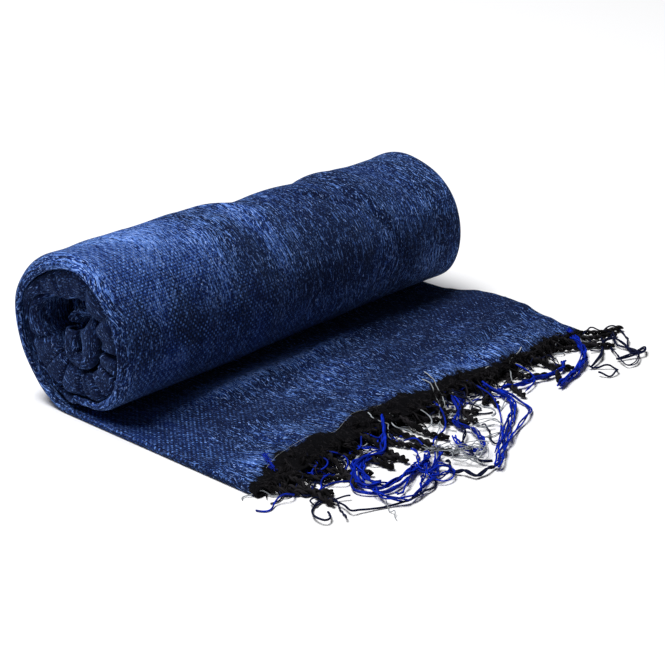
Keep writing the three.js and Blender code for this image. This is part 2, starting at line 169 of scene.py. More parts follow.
# The twisted ends of the warp, given one by one. x is the root, heading is from straight ahead towards
# the selvages, bend is how much the heading turns along it, upper is 1 on the upper ply.
TWISTED_ENDS = table(
    "x heading bend length upper",
    (-168, 34, 4, 40, 1), (-160, 30, -6, 36, 0), (-150, 22, -14, 38, 1), (-139, 12, 20, 34, 0),
    (-127, 24, 8, 38, 0), (-114, 4, -16, 36, 1), (-101, 16, 20, 38, 0), (-88, -8, 10, 36, 0),
    (-76, 20, -12, 40, 1), (-66, 6, 10, 58, 0), (-52, 30, -18, 34, 0), (-38, -6, 14, 34, 1),
    (-24, 14, 10, 36, 0), (-8, 20, 24, 32, 0), (8, -30, -22, 34, 1), (24, -46, 16, 42, 0),
    (40, 10, -20, 32, 0), (56, -14, -30, 36, 1), (72, 18, 16, 34, 0), (88, -62, 26, 46, 0),
    (104, 8, 16, 34, 1), (118, -22, -14, 46, 0), (132, 32, 20, 36, 0), (146, 20, 10, 40, 1),
    (158, 44, 16, 36, 0), (170, 52, 14, 34, 1),
)
# Thick rovings of blue: each row is one strand, and its points are (x, y, height) in mm.
ROVINGS = (
    ((-48, -168, 10.5), (-64, -184, 9), (-80, -197, 5), (-96, -193, 5), (-118, -203, 3.4),
     (-129, -217, 2.4), (-117, -231, 2.0), (-96, -231, 3.2), (-76, -223, 2.2)),
    ((-2, -176, 7), (-10, -190, 6), (-24, -203, 3.6), (-42, -208, 2.4), (-60, -224, 2.6),
     (-86, -240, 3.0), (-104, -246, 2.0)),
    ((40, -176, 7), (36, -196, 5), (24, -212, 3), (8, -226, 2.4), (-10, -238, 2.2), (-28, -248, 2.0)),
    ((156, -178, 6), (152, -190, 7), (136, -202, 6), (118, -210, 4), (100, -216, 2.4), (84, -221, 2.0)),
    ((86, -178, 8), (84, -194, 6), (78, -202, 3.5), (62, -206, 2.2)),
)
# Groups of loose yarns: from and to along X, the number, length, curl in turns, heading, how much they
# wander, the share of them that starts on the upper ply, and the shares that are blue and pale.
YARN_GROUPS = table(
    "start end number length curl heading wander upper blue pale",
    (-160, -126, 8, 56, 0.7, 20, 1.5, 0.5, 0.2, 0.2), (-132, -62, 22, 70, 0.9, 6, 2.1, 0.5, 0.45, 0.2),
    (-96, -40, 14, 60, 0.9, 14, 2.4, 0.5, 0.4, 0.35), (-30, 20, 16, 56, 0.7, -4, 2.1, 0.5, 0.35, 0.35),
    (16, 64, 14, 56, 0.7, -14, 2.0, 0.5, 0.5, 0.15), (60, 150, 14, 40, 0.6, 0, 1.7, 0.4, 0.4, 0.25),
    (146, 170, 10, 50, 0.9, 50, 2.2, 0.6, 0.3, 0.25),
)
# Yarns laid one by one, by their dye: how thick beside a loose yarn, the strands in the bundle, how far
# they stray from one another, in mm, and then the points of the way over the shawl and the floor.
LAID_YARNS = {
    "pale yarn": (
        (0.6, 1, 0, (24, -146), (20, -156), (12, -168), (6, -178), (-6, -187), (-20, -196), (-18, -208)),
        (0.6, 1, 0, (16, -150), (14, -160), (4, -172), (-2, -181), (-14, -190), (-26, -199), (-44, -212),
         (-56, -222), (-66, -230)),
        (0.7, 1, 0, (112, -166), (98, -172), (84, -176), (72, -186), (58, -198), (42, -204), (26, -211)),
        (0.7, 1, 0, (-52, -160), (-56, -168), (-52, -177), (-60, -184), (-54, -191), (-62, -197)),
        (0.16, 1, 0, (-153, -162), (-146, -160), (-138, -157), (-129, -156), (-119, -158), (-110, -161)),
        (0.16, 1, 0, (-92, -161), (-82, -159), (-71, -156), (-60, -154), (-50, -155), (-38, -159)),
        (0.5, 3, 3, (-2, -212), (8, -220), (4, -232), (-10, -234), (-18, -226), (-10, -216), (2, -224)),
        (1.2, 2, 1.5, (-90, -188), (-97, -189), (-105, -193), (-113, -203), (-117, -215), (-121, -226)),
        (0.45, 7, 7, (-60, -216), (-52, -222), (-44, -232), (-30, -236), (-36, -246), (-50, -244),
         (-56, -232)),
        (0.5, 1, 0, (-125, -238), (-129, -241), (-132, -245), (-134, -252), (-138, -257)),
    ),
    "blue roving": (
        (1.1, 6, 2.8, (-64, -184), (-73, -191), (-80, -196), (-86, -194), (-92, -193), (-102, -197),
         (-110, -204), (-116, -215), (-112, -222)),
        (1.1, 6, 3.6, (-92, -195), (-101, -193), (-111, -198), (-120, -208), (-124, -219), (-117, -227),
         (-103, -228), (-89, -226), (-76, -227), (-64, -222)),
        (1.0, 3, 4, (-108, -201), (-119, -221), (-126, -236), (-123, -246), (-113, -249), (-97, -246),
         (-81, -241), (-70, -234)),
        (0.9, 4, 5, (-56, -226), (-73, -233), (-82, -238), (-84, -246), (-76, -248), (-67, -243),
         (-70, -236), (-81, -234), (-83, -226), (-94, -228)),
        (0.9, 2, 3, (-62, -208), (-67, -217), (-82, -226), (-97, -233), (-108, -238), (-118, -240)),
        (0.9, 2, 3, (-58, -214), (-67, -225), (-82, -233), (-96, -241), (-104, -247)),
        (1.1, 5, 4, (44, -182), (46, -196), (40, -212), (22, -224), (4, -234), (-14, -245), (-32, -255),
         (-45, -262)),
        (1.1, 2, 2, (50, -190), (47, -215), (38, -228), (24, -233), (8, -238), (-11, -247), (-24, -249),
         (-38, -258)),
        (1.3, 9, 3.2, (166, -170), (160, -178), (150, -192), (134, -206), (116, -213), (100, -216),
         (86, -219)),
        (1.2, 5, 2.4, (122, -196), (109, -203), (96, -203), (84, -200), (68, -198), (56, -192)),
        (1.0, 4, 3.4, (14, -180), (9, -188), (-8, -200), (-15, -208), (-12, -215), (-18, -227),
         (-28, -238), (-38, -236), (-38, -226), (-30, -216)),
        (0.3, 6, 3.5, (-141, -149), (-144, -153), (-147, -158), (-150, -163), (-151, -167)),
    ),
    "dark yarn": (
        (1.2, 1, 0, (-78, -238), (-90, -248), (-101, -249), (-114, -250), (-131, -242), (-145, -235),
         (-151, -232), (-149, -223), (-148, -213), (-153, -207), (-165, -213), (-171, -221), (-171, -229),
         (-165, -228), (-161, -221)),
        (1.0, 1, 0, (-137, -219), (-145, -213), (-151, -205), (-158, -205), (-160, -210), (-151, -209),
         (-147, -216), (-153, -226), (-160, -236)),
        (1.3, 2, 1.4, (-58, -232), (-66, -243), (-65, -252), (-62, -259), (-53, -260), (-42, -259)),
        (1.0, 2, 3, (6, -192), (-17, -214), (-30, -223), (-38, -235), (-45, -248), (-42, -257)),
        (1.0, 1, 0, (0, -216), (-3, -225), (-12, -231), (-16, -238), (-11, -240)),
        (1.1, 1, 0, (154, -198), (163, -202), (182, -188), (197, -184), (203, -190), (194, -203),
         (179, -214)),
        (1.2, 2, 1.6, (130, -216), (150, -210), (171, -197), (181, -199), (178, -210), (173, -222),
         (183, -226), (174, -231), (163, -226), (154, -222)),
        (0.8, 2, 2.4, (173, -201), (163, -212), (153, -226), (150, -234), (159, -235), (170, -229),
         (175, -216), (177, -205), (189, -193), (183, -202)),
        (1.0, 1, 0, (170, -180), (183, -178), (190, -186), (193, -195)),
        (1.2, 1, 0, (128, -214), (139, -226), (137, -233), (127, -234), (122, -226)),
    ),
}
# Small loops of weft along the far selvage of the flat end: from and to along it, number and reach.
SELVAGE_LOOPS = (-172, -96, 13, 3.6)
# The layers of the brushed nap, from the first to the last: the noise that shows it, the noise's values
# where it starts and where it is full, its greatest share, and its dye.
NAP_LAYERS = (
    ("grain", 0.54, 0.60, 0.5, "Grey"), ("grain", 0.53, 0.46, 0.8, "Navy"),
    ("hairs", 0.56, 0.62, 1.0, "Lint"), ("hairs", 0.50, 0.43, 1.0, "Navy"),
    ("streaks", 0.55, 0.62, 0.3, "Lint"), ("streaks", 0.49, 0.41, 0.8, "Navy"),
    ("strands", 0.58, 0.64, 0.8, "Lint"), ("strands", 0.51, 0.44, 0.8, "Navy"),
    ("hairs", 0.615, 0.67, 0.9, "Pale"), ("strands", 0.63, 0.69, 0.5, "Pale"),
)
# The heather's noises: how often each repeats in a metre across and along the warp, where it starts, its
# detail, roughness and distortion, and how far the tone raises it.
HEATHER_NOISES = {
    "bands": ((36, 9), (0, 0), 2, 0.6, 0, 0.16), "patches": ((70, 20), (3.1, 1.7), 2, 0.5, 0, -0.16),
    "strands": ((960, 72), (1.3, 4.1), 3, 0.7, 0, 0.04),
    "grain": ((860, 600), (2.2, 9.1), 2, 0.6, 0.7, 0.025),
    "hairs": ((1250, 330), (7.7, 2.3), 2, 0.7, 0.8, 0.04),
    "streaks": ((500, 36), (6.1, 0.7), 4, 0.7, 0, 0.05),
}
# The strands' materials: the dye, how far its fibres are dimmed (partly fibre streaks, partly painted
# shade), its roughness and its sheen.
YARN_DYES = {
    "black wool": ("worn_wool", 0.88, 0.9, 0.04), "blue roving": ("roving", 0.75, 0.6, 0.15),
    "dark yarn": ("dark_yarn", 0.5, 0.7, 0.2), "pale yarn": ("pale_yarn", 0.5, 0.7, 0.2),
}
YARN_SLOTS = {"blue roving": "blue_yarn", "dark yarn": "fringe", "pale yarn": "pale_yarn"}

# Numbers that shape the roll, in mm and degrees.
GIRTH_LEAN, GIRTH_UPRIGHT = 40, 0.42  # the girth leans this far in a turn, from this share of one
# How far along the roll the folded end's outline, its insets and its crumples fade out.
OUTLINE_REACH, INSET_REACH, CRUMPLE_REACH = 100, 60, 40
ROUNDED_END = (12, 2.5)  # the folded end's reach and depth of rounding
INNER_TURNS_FROM, INNER_TURNS_TO = 400, 470  # where round the roll the inner turns' crumples come in
CRUMPLED_TURNS = 2.45  # past this turn nothing shows, and fewer points will do
CORE_PLIES = 1.9  # between the innermost folds' plies, inside the roll
CORE_OPEN, CORE_DRAWN = 34, 48  # how far along the roll these plies stay apart, and their folds wide
CORE_SHRUNK = 0.36  # the innermost folds' size inside the roll, as a share
CORE_SHORT = 14  # how much sooner their selvages stop, at each end of the cloth's width
CORE_LENGTH = 128  # the length of cloth that their pattern is laid over
FRAY_FROM, FRAY_TO = 9.0, 3.0  # the blue turns black from this far short of the band to this far into it
MOSTLY_FRAYED = 0.6  # the share of fraying from which a face is bare warp
FIBRES_A_LOCK = 12
ROOT_DEPTH = 4.0  # how far in from the cut edge the fringe's strands start


# ---- Sizes and colours that a user would change ----


def length_prop(name, description, default):
    return FloatProperty(
        name=name, description=description, default=default, min=0.0, unit="LENGTH", precision=4
    )


def colour_prop(name, description, default):
    return FloatVectorProperty(
        name=name, description=description, default=default, size=3, min=0.0, max=1.0, subtype="COLOR"
    )


class ShawlSizes(bpy.types.PropertyGroup):
    """The cloth and how it is rolled."""

    cloth_width: length_prop("Cloth width", "Selvage to selvage, before it is folded", 0.700)
    thickness: length_prop("Thickness", "One ply of the brushed weave", 0.0018)
    ply_air: length_prop("Ply air", "Air between the two plies where they are rolled", 0.0016)
    turn_air: length_prop("Turn air", "Air between one turn and the next", 0.0006)
    roll_radius: length_prop("Roll radius", "From the roll's axis to the resting surface", 0.055)
    tail_reach: length_prop("Tail reach", "From the roll's axis to the cut edge", 0.176)
    turns: FloatProperty(name="Turns", description="Turns in the roll", default=6.2, min=2.0, max=7.0)
    weave_pitch: length_prop("Weave pitch", "One repeat of the plain weave", 0.0036)


class FringeSizes(bpy.types.PropertyGroup):
    """The fringe."""

    twist_width: length_prop("Twisted end width", "Across one twisted end of the warp", 0.0044)
    roving_width: length_prop("Roving width", "Across a thick blue roving", 0.0025)
    yarn_width: length_prop("Yarn width", "Across a loose yarn", 0.0012)
    tuft_count: IntProperty(name="Tufts", description="Short tufts along the cut edges", default=150, min=0)
    fuzz_width: length_prop("Fuzz width", "Across one fibre of the frayed edge", 0.0003)
    fuzz_count: IntProperty(
        name="Fuzz fibres", description="Fibres along the frayed edge", default=2600, min=0
    )
    seed: IntProperty(name="Seed", description="Picks the lay of the loose yarns", default=11, min=0)


class ShawlColours(bpy.types.PropertyGroup):
    """The dyes, as linear colours."""

    royal: colour_prop("Royal blue", "The brightest warp", (0.005, 0.036, 0.31))
    grey_blue: colour_prop("Grey blue", "The pale warp", (0.026, 0.088, 0.42))
    navy: colour_prop("Navy", "The dark warp", (0.0015, 0.0035, 0.020))
    brown_grey: colour_prop("Brown grey", "The undyed warp", (0.024, 0.029, 0.060))
    lint: colour_prop("Lint", "Pale fibres in the nap", (0.18, 0.38, 1.0))
    pale_fibre: colour_prop("Pale fibre", "The few palest fibres in the nap", (0.38, 0.54, 1.0))
    frayed: colour_prop("Frayed black", "The bare warp at the cut edge", (0.0035, 0.0035, 0.005))
    worn_wool: colour_prop("Worn wool", "The worn fibres of the black edge", (0.026, 0.024, 0.028))
    roving: colour_prop("Roving blue", "The thick rovings", (0.002, 0.032, 0.66))
    dark_yarn: colour_prop("Dark yarn", "The dark loose yarns", (0.006, 0.010, 0.045))
    pale_yarn: colour_prop("Pale yarn", "The pale loose yarns", (0.50, 0.54, 0.58))


class StudioSettings(bpy.types.PropertyGroup):
    """The floor, the lights and the camera."""

    floor_colour: colour_prop("Floor", "The floor's paint", (0.90, 0.90, 0.91))
    key_watts: FloatProperty(
        name="Key light", description="The big soft light over the roll", default=345.0, min=0.0
    )
    ambient: FloatProperty(name="Ambient", description="The white room's light", default=0.07, min=0.0)
    camera_place: FloatVectorProperty(
        name="Camera", description="Where the camera stands", default=(-0.8649, -0.8631, 0.5190),
        subtype="TRANSLATION",
    )
    camera_azimuth: FloatProperty(name="Azimuth", description="Round the object, in degrees", default=-47.84)
    camera_elevation: FloatProperty(name="Elevation", description="Above level, in degrees", default=22.70)
    focal_mm: FloatProperty(name="Focal length", description="On a 36 mm sensor", default=95.8, min=1.0)


# ---- Curves and noise ----


def smoothstep(value, low, high):
    """0 below low and 1 above high, with the curve 3t^2 - 2t^3 between them."""
    t = np.clip((value - low) / (high - low), 0, 1)
    return t * t * (3 - 2 * t)


def crest(distance, width):
    """One wave of a soft fold: half of 1 + cos(pi d / w), so 1 at its crest and 0 from one width away."""
    return 0.5 + 0.5 * np.cos(np.pi * np.minimum(1, np.abs(distance) / width))


def between(rows, at):
    """A table's other columns at each value of its first, eased by smoothstep from each row to the next."""
    keys, *columns = rows.values()
    after = np.clip(np.searchsorted(keys, at), 1, len(keys) - 1)
    t = smoothstep(at, keys[after - 1], keys[after])
    return [values[after - 1] + (values[after] - values[after - 1]) * t for values in columns]


def ridges(rows, x):
    """The sum of a table's ridges: each one's height times a crest of its width at its place."""
    return sum(height * crest(x - at, width) for at, width, height in zip(*rows.values()))


def patches(rows, x, place):
    """The sum of a table's soft patches: each one's tone times a crest along the roll and one across."""
    return sum(
        tone * crest(x - at, width) * crest(place - around, spread)
        for at, around, width, spread, tone in zip(*rows.values())
    )


def soft_noise(u, v, seed, layers=2):
    """Smooth unevenness from about -1 to 1: random heights on a unit lattice, blended between the four
    corners of each cell with smoothstep, plus finer layers of half the size and half the height."""
    side = 64
    total, weight = np.zeros(np.broadcast(u, v).shape), 0.0
    for layer in range(layers):
        lattice = np.random.default_rng(seed + layer).uniform(-1, 1, (side, side))
        a, b = u * 2**layer + 7.3 * layer, v * 2**layer + 3.1 * layer
        i, j = np.floor(a).astype(int), np.floor(b).astype(int)
        s, t = smoothstep(a - i, 0, 1), smoothstep(b - j, 0, 1)
        low, high = (
            lattice[i % side, (j + up) % side] * (1 - s) + lattice[(i + 1) % side, (j + up) % side] * s
            for up in (0, 1)
        )
        total += 0.5**layer * (low * (1 - t) + high * t)
        weight += 0.5**layer
    return total / weight


def unit(vectors):
    return vectors / np.maximum(np.linalg.norm(vectors, axis=-1, keepdims=True), 1e-12)


# ---- The doubled sheet ----


class DoubledSheet:
    """Where each point of the cloth lies, in millimetres. The sheet is folded in half lengthwise at
    near, so it has an under ply and an upper ply. A station is a place across it: from -1 to 1 the sheet
    bends round its fold, and beyond that it runs straight, on the under ply (below -1) or the upper one.
    turn is the angle round the roll, in radians, from where it rests."""

    def __init__(self, sizes):
        self.cloth = sizes.thickness / MM
        self.ply_spread = self.cloth + sizes.ply_air / MM
        self.turn_air = sizes.turn_air / MM
        self.pitch = self.ply_spread + self.cloth + self.turn_air
        self.radius = sizes.roll_radius / MM
        self.reach = sizes.tail_reach / MM
        self.folded_width = sizes.cloth_width / MM / 2
        self.near, self.far = -self.folded_width / 2, self.folded_width / 2
        self.foremost = self.near + self.cloth / 2
        self.selvage = self.folded_width - self.cloth - self.ply_spread / 2 + 1
        self.turns = sizes.turns

    def near_fold(self, x, reach):
        """1 at the folded end of the roll, fading to 0 this far along it."""
        return 1 - smoothstep(x, self.near, self.near + reach)

    def creases(self, x, degrees):
        """The creases' troughs and ridges: a crest across each, along a leaning line, fading out round it."""
        return sum(
            depth * crest(x - at - lean * (degrees - around) / 60, width) * crest(degrees - around, spread)
            for at, around, lean, spread, width, depth in zip(*ROLL_CREASES.values())
        )

    def outer_face(self, x, turn):
        """The distance from the axis to the outer turn: a spiral that loses one pitch a turn, plus the
        outline's stand-off, the girth, the creases and a soft unevenness. Where it rests it is flat."""
        degrees = np.degrees(turn)
        body, folded = between(ROLL_OUTLINE, degrees)
        stand_off = body + (folded - body) * self.near_fold(x, OUTLINE_REACH)
        top, front = between(ROLL_GIRTH, x - GIRTH_LEAN * (turn / FULL_TURN - GIRTH_UPRIGHT))
        fuller = top + (front - top) * smoothstep(degrees, 190, 250)
        window = smoothstep(degrees, 70, 120) * (1 - smoothstep(degrees, 292, 344))
        soft = 0.7 * soft_noise(x / 26, turn * self.radius / 40, seed=3) * smoothstep(degrees, 40, 80)
        soft = soft * (1 - smoothstep(degrees, 300, 340))
        reach, depth = ROUNDED_END
        rounding = depth * self.near_fold(x, reach) ** 2 * smoothstep(turn, np.radians(RESTING_DEGREES), 1)
        radius = self.radius - self.pitch * turn / FULL_TURN + stand_off + fuller * window - rounding
        radius = radius + self.creases(x, degrees) * window + soft
        resting = self.radius / np.maximum(np.cos(np.minimum(turn, 1.5)), 0.05)
        return np.where(turn < 1.5, np.minimum(radius, resting), radius)

    def loose(self, x, turn, column):
        """The sum of the loose folds' crests round the roll, each fading out along it."""
        rows, degrees = LOOSE_FOLDS, np.degrees(turn)
        total = np.zeros(np.broadcast(x, turn).shape)
        for k in np.flatnonzero(rows[column]):
            round_it = crest(degrees - rows["degrees"][k], rows["spread"][k])
            total += rows[column][k] * self.near_fold(x, rows["reach"][k]) * round_it
        return total

    def spread(self, x, turn):
        """From the middle of the outer ply to the middle of the inner one."""
        return self.ply_spread + self.loose(x, turn, "ply")

    def step(self, x, turn):
        """From one turn's outer face to the next one's: both plies and the air."""
        return self.cloth + self.spread(x, turn) + self.turn_air + self.loose(x, turn, "air")

    def turn_face(self, x, turn):
        """The distance from the axis to any turn's outer face: the outer turn's, less every step between."""
        whole = np.floor(np.minimum(turn, FULL_TURN * 7 - 1e-6) / FULL_TURN)
        part = turn - whole * FULL_TURN
        radius = self.outer_face(x, part)
        for k in range(int(whole.max())):
            radius = radius - np.where(k < whole, self.step(x, part + k * FULL_TURN), 0)
        return radius

    def tail_spread(self, x, reach):
        """The upper ply's height over the under ply on the flat end, never less than the cloth itself."""
        near_edge = smoothstep(reach, self.reach - 66, self.reach - 17)
        near_edge = near_edge * (1 - 0.6 * smoothstep(reach, self.reach - 17, self.reach))
        raised = patches(TAIL_PUFFS, x, reach) + ridges(EDGE_SCALLOPS, x) * near_edge
        free = 1 - 0.7 * self.near_fold(x, 40)
        wrinkles = 1.1 * soft_noise(x / 34, reach / 17, seed=21)
        wrinkles = wrinkles + 0.8 * soft_noise(x / 13, reach / 30, seed=31)
        settled = smoothstep(reach, 30, 60) * (1 - 0.5 * smoothstep(reach, self.reach - 12, self.reach))
        spread = self.ply_spread + free * (raised + wrinkles * settled)
        return np.maximum(spread, self.cloth + 0.4)

    def ragged(self, x):
        """The cut edge's unevenness: two slow waves and finer tufts."""
        slow = 2.2 * np.sin(FULL_TURN * x / 107) + 1.3 * np.sin(FULL_TURN * x / 46 + 1)
        return slow + 1.6 * soft_noise(x / 3.4, 0.0, seed=5)

    def bend(self, station):
        """Across the doubled sheet: how far up from the under ply (0 to 1), and the way along X, first
        round the bend's half circle (0 to 1) and then straight."""
        angle = np.clip(station, -1, 1) * np.pi / 2
        return 0.5 + 0.5 * np.sin(angle), 1 - np.cos(angle), np.maximum(0, np.abs(station) - 1)

    def on_flat_end(self, station, reach):
        """A point of the flat end, at this distance from the roll's axis."""
        rise, round_bend, past = self.bend(station)
        x = self.foremost + self.ply_spread / 2 * round_bend + past
        shift = self.ragged(x) * (0.1 + 0.9 * rise) * smoothstep(reach, self.reach - 40, self.reach)
        return np.stack([x, shift - reach, self.cloth / 2 + rise * self.tail_spread(x, reach)], -1)

    def on_roll(self, station, turn):
        """A point of any turn of the roll."""
        rise, round_bend, past = self.bend(station)
        degrees = np.degrees(turn)
        inset, tilt = between(DRAWN_IN, degrees)
        inner = smoothstep(degrees, INNER_TURNS_FROM, INNER_TURNS_TO)
        start = self.foremost + past
        shy = self.near_fold(start, INSET_REACH)
        depth = self.spread(start, turn) / 2
        depth = np.minimum(depth, 0.4 * depth + 2.6)
        nose = shy * depth + (1 - shy) * self.ply_spread / 2
        blunt = 1 + 0.8 * smoothstep(degrees, 440, 500)
        x = start + np.where(np.abs(station) > 1, nose, depth * round_bend**blunt)
        pinched = ridges(PINCHES, degrees) + 1.6 * soft_noise(degrees / 11, 0.5, seed=41)
        x = x + shy * (inset + tilt * rise + pinched * inner)
        crumple = self.near_fold(x, CRUMPLE_REACH) * inner
        radius = self.turn_face(x, turn) - self.cloth / 2 - rise * self.spread(x, turn)
        radius = radius + 0.9 * crumple * (rise - 0.15) * soft_noise(degrees / 15, x / 9, seed=17)
        return np.stack([x, radius * np.sin(turn), self.radius - radius * np.cos(turn)], -1)

    def innermost(self, station, share):
        """A point of the innermost folds: the doubled cloth follows a line of short bends from share 0 to
        1, fuller at the folded end, and drawn together along the roll."""
        rows = INNERMOST
        line = resampled([np.stack([rows["y"], rows["z"], rows["inset"]], -1)], 240)[0]
        across_line = unit(np.stack([np.gradient(line[:, 1]), -np.gradient(line[:, 0])], -1))
        even = np.linspace(0, 1, len(line))
        y, z, inset, across_y, across_z = (
            np.interp(share, even, column) for column in np.concatenate([line, across_line], 1).T
        )
        rise, round_bend, past = self.bend(station)
        passed = np.concatenate([[0], np.cumsum(np.hypot(np.diff(rows["y"]), np.diff(rows["z"])))])
        width = np.interp(share, passed / passed[-1], rows["width"])
        lumpy = 1.9 * soft_noise(share * 19, rise * 2.1, seed=14) * np.sin(np.pi * rise)
        inset = inset * (1 - smoothstep(past, 30, 200))
        x = self.foremost + inset + 3.0 * round_bend + past + lumpy
        apart = CORE_PLIES + (width - CORE_PLIES) * self.near_fold(x, CORE_OPEN)
        drawn = CORE_SHRUNK + (1 - CORE_SHRUNK) * self.near_fold(x, CORE_DRAWN)
        crumple = soft_noise(share * 15, x / 9, seed=23) + 0.5 * soft_noise(share * 40, x / 7, seed=29)
        offset = (rise - 0.5) * apart * (1 + 0.06 * crumple)
        offset = offset + 0.5 * self.near_fold(x, CRUMPLE_REACH) * crumple
        return np.stack([x, drawn * y + offset * across_y, self.radius + drawn * z + offset * across_z], -1)


def ply_stations(last, count, crowd):
    """Stations along one ply from the bend, closer together near it where crowd is over 1."""
    return 1 + (last - 1) * np.linspace(0, 1, count + 1) ** crowd


def across(under, upper, bend=12):
    """Stations across the doubled sheet: the under ply, the bend and the upper ply."""
    return np.concatenate([-under[::-1], np.linspace(-1, 1, bend + 1)[1:-1], upper])


def cloth_uv(middle, along, station):
    """UV in metres that follows the cloth. Round the fold, u is the length of the middle surface from the
    fold's foremost row, and beyond it the plain distance across; v is the given length along the cloth."""
    steps = np.linalg.norm(np.diff(middle, axis=0), axis=2)
    length = np.concatenate([np.zeros((1, middle.shape[1])), np.cumsum(steps, 0)])
    length = length - length[np.abs(station).argmin()]
    low, high = np.flatnonzero(np.abs(station) <= 1)[[0, -1]]
    station = station[:, None]
    past = np.maximum(0, np.abs(station) - 1)
    u = np.where(station < -1, length[low] - past, np.where(station > 1, length[high] + past, length))
    return np.stack([u, along], -1) * MM


# ---- Meshes ----


def new_piece(name, points, faces, material, corner_uv=None, values=None):
    """A smooth-shaded piece from points in millimetres and a list of face arrays (quads, triangles).
    corner_uv holds one UV pair for each corner of each face, and values named numbers for each point."""
    mesh = bpy.data.meshes.new(name)
    corners = np.concatenate([f.ravel() for f in faces])
    sizes = np.concatenate([np.full(len(f), f.shape[1]) for f in faces])
    mesh.vertices.add(len(points))
    mesh.vertices.foreach_set("co", (points * MM).astype(np.float32).ravel())
    mesh.loops.add(len(corners))
    mesh.loops.foreach_set("vertex_index", corners.astype(np.int32))
    mesh.polygons.add(len(sizes))
    mesh.polygons.foreach_set("loop_start", (np.cumsum(sizes) - sizes).astype(np.int32))
    mesh.update(calc_edges=True)
    mesh.polygons.foreach_set("use_smooth", np.ones(len(sizes), bool))
    if corner_uv is not None:
        mesh.uv_layers.new(name="cloth").data.foreach_set("uv", corner_uv.astype(np.float32).ravel())
    for key, numbers in (values or {}).items():
        attribute = mesh.attributes.new(key, "FLOAT", "POINT")
        attribute.data.foreach_set("value", numbers.astype(np.float32).ravel())
    if mesh.validate():
        raise RuntimeError(f"{name} has faulty faces")
    piece = bpy.data.objects.new(name, mesh)
    bpy.context.scene.collection.objects.link(piece)
    mesh.materials.append(material)
    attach(piece, "root")
    return piece


def quads(*corners):
    """Faces between four arrays of corners, in their order."""
    return np.stack(corners, -1).reshape(-1, 4)


def cloth_wall(name, sheet, middle, along, station, values):
    """A closed wall of brushed cloth: each point of the middle surface moves half the thickness to either
    side along the surface's normal (the cross product of its two tangents), and a rim joins the two."""
    normal = unit(np.cross(np.gradient(middle, axis=0), np.gradient(middle, axis=1)))
    half = normal * sheet.cloth / 2
    points = np.concatenate([(middle + half).reshape(-1, 3), (middle - half).reshape(-1, 3)])
    at = np.arange(middle[..., 0].size).reshape(middle.shape[:2])
    other = at + at.size
    faces = [
        quads(at[:-1, :-1], at[1:, :-1], at[1:, 1:], at[:-1, 1:]),
        quads(other[:-1, :-1], other[:-1, 1:], other[1:, 1:], other[1:, :-1]),
    ]
    for edge, beyond in zip(*((s[::-1, 0], s[:, -1], s[0], s[-1, ::-1]) for s in (at, other))):
        faces.append(quads(edge[1:], beyond[1:], beyond[:-1], edge[:-1]))
    faces = np.concatenate(faces)
    point_uv = np.concatenate([cloth_uv(middle, along, station).reshape(-1, 2)] * 2)
    doubled = {key: np.concatenate([numbers.ravel()] * 2) for key, numbers in values.items()}
    material = finish("brushed heathered cloth")
    return new_piece(name, points, [faces], material, point_uv[faces.ravel()], doubled)


def lengths(paths):
    """The length along each path at each of its points."""
    steps = np.linalg.norm(np.diff(paths, axis=1), axis=2)
    return np.concatenate([np.zeros((len(paths), 1)), np.cumsum(steps, 1)], 1)


def resampled(controls, count):
    """Smooth curves through rows of control points: a Catmull-Rom spline through each row, then the
    same number of points at even steps along it. controls is (curves, points, 3)."""
    controls = np.asarray(controls, float)
    before, after = 2 * controls[:, :1] - controls[:, 1:2], 2 * controls[:, -1:] - controls[:, -2:-1]
    padded = np.concatenate([before, controls, after], 1)
    spans = controls.shape[1] - 1
    t = np.linspace(0, spans, spans * 12 + 1)
    i = np.minimum(t.astype(int), spans - 1)
    t = (t - i)[None, :, None]
    p0, p1, p2, p3 = (padded[:, i + k] for k in range(4))
    squared, cubed = 2 * p0 - 5 * p1 + 4 * p2 - p3, 3 * p1 - p0 - 3 * p2 + p3
    fine = 0.5 * (2 * p1 + (p2 - p0) * t + squared * t**2 + cubed * t**3)
    share = np.linspace(0, 1, count)
    return np.stack([
        np.stack([np.interp(share * s[-1], s, column) for column in line.T], -1)
        for s, line in zip(lengths(fine), fine)
    ])


def path_frames(paths):
    """Two unit vectors across each path at each point: the first pair is picked from the upright, and
    each next pair is the last one, with what lies along the path taken out."""
    tangent = unit(np.gradient(paths, axis=1))
    side = np.empty_like(paths)
    start = np.cross(tangent[:, 0], np.array([0.0, 0.35, 1.0]))
    side[:, 0] = unit(start)
    for k in range(1, paths.shape[1]):
        last = side[:, k - 1]
        side[:, k] = unit(last - (last * tangent[:, k]).sum(-1, keepdims=True) * tangent[:, k])
    return side, np.cross(tangent, side)



def plied(paths, offset, turns, plies):
    """The paths of the plies twisted round each path: each ply runs round it at the offset, a share of
    a turn behind the last one."""
    side, up = path_frames(paths)
    along = np.linspace(0, 1, paths.shape[1])[None, :]
    angles = [(FULL_TURN * (turns[:, None] * along + ply / plies))[..., None] for ply in range(plies)]
    return np.concatenate([paths + offset[..., None] * (np.cos(a) * side + np.sin(a) * up) for a in angles])


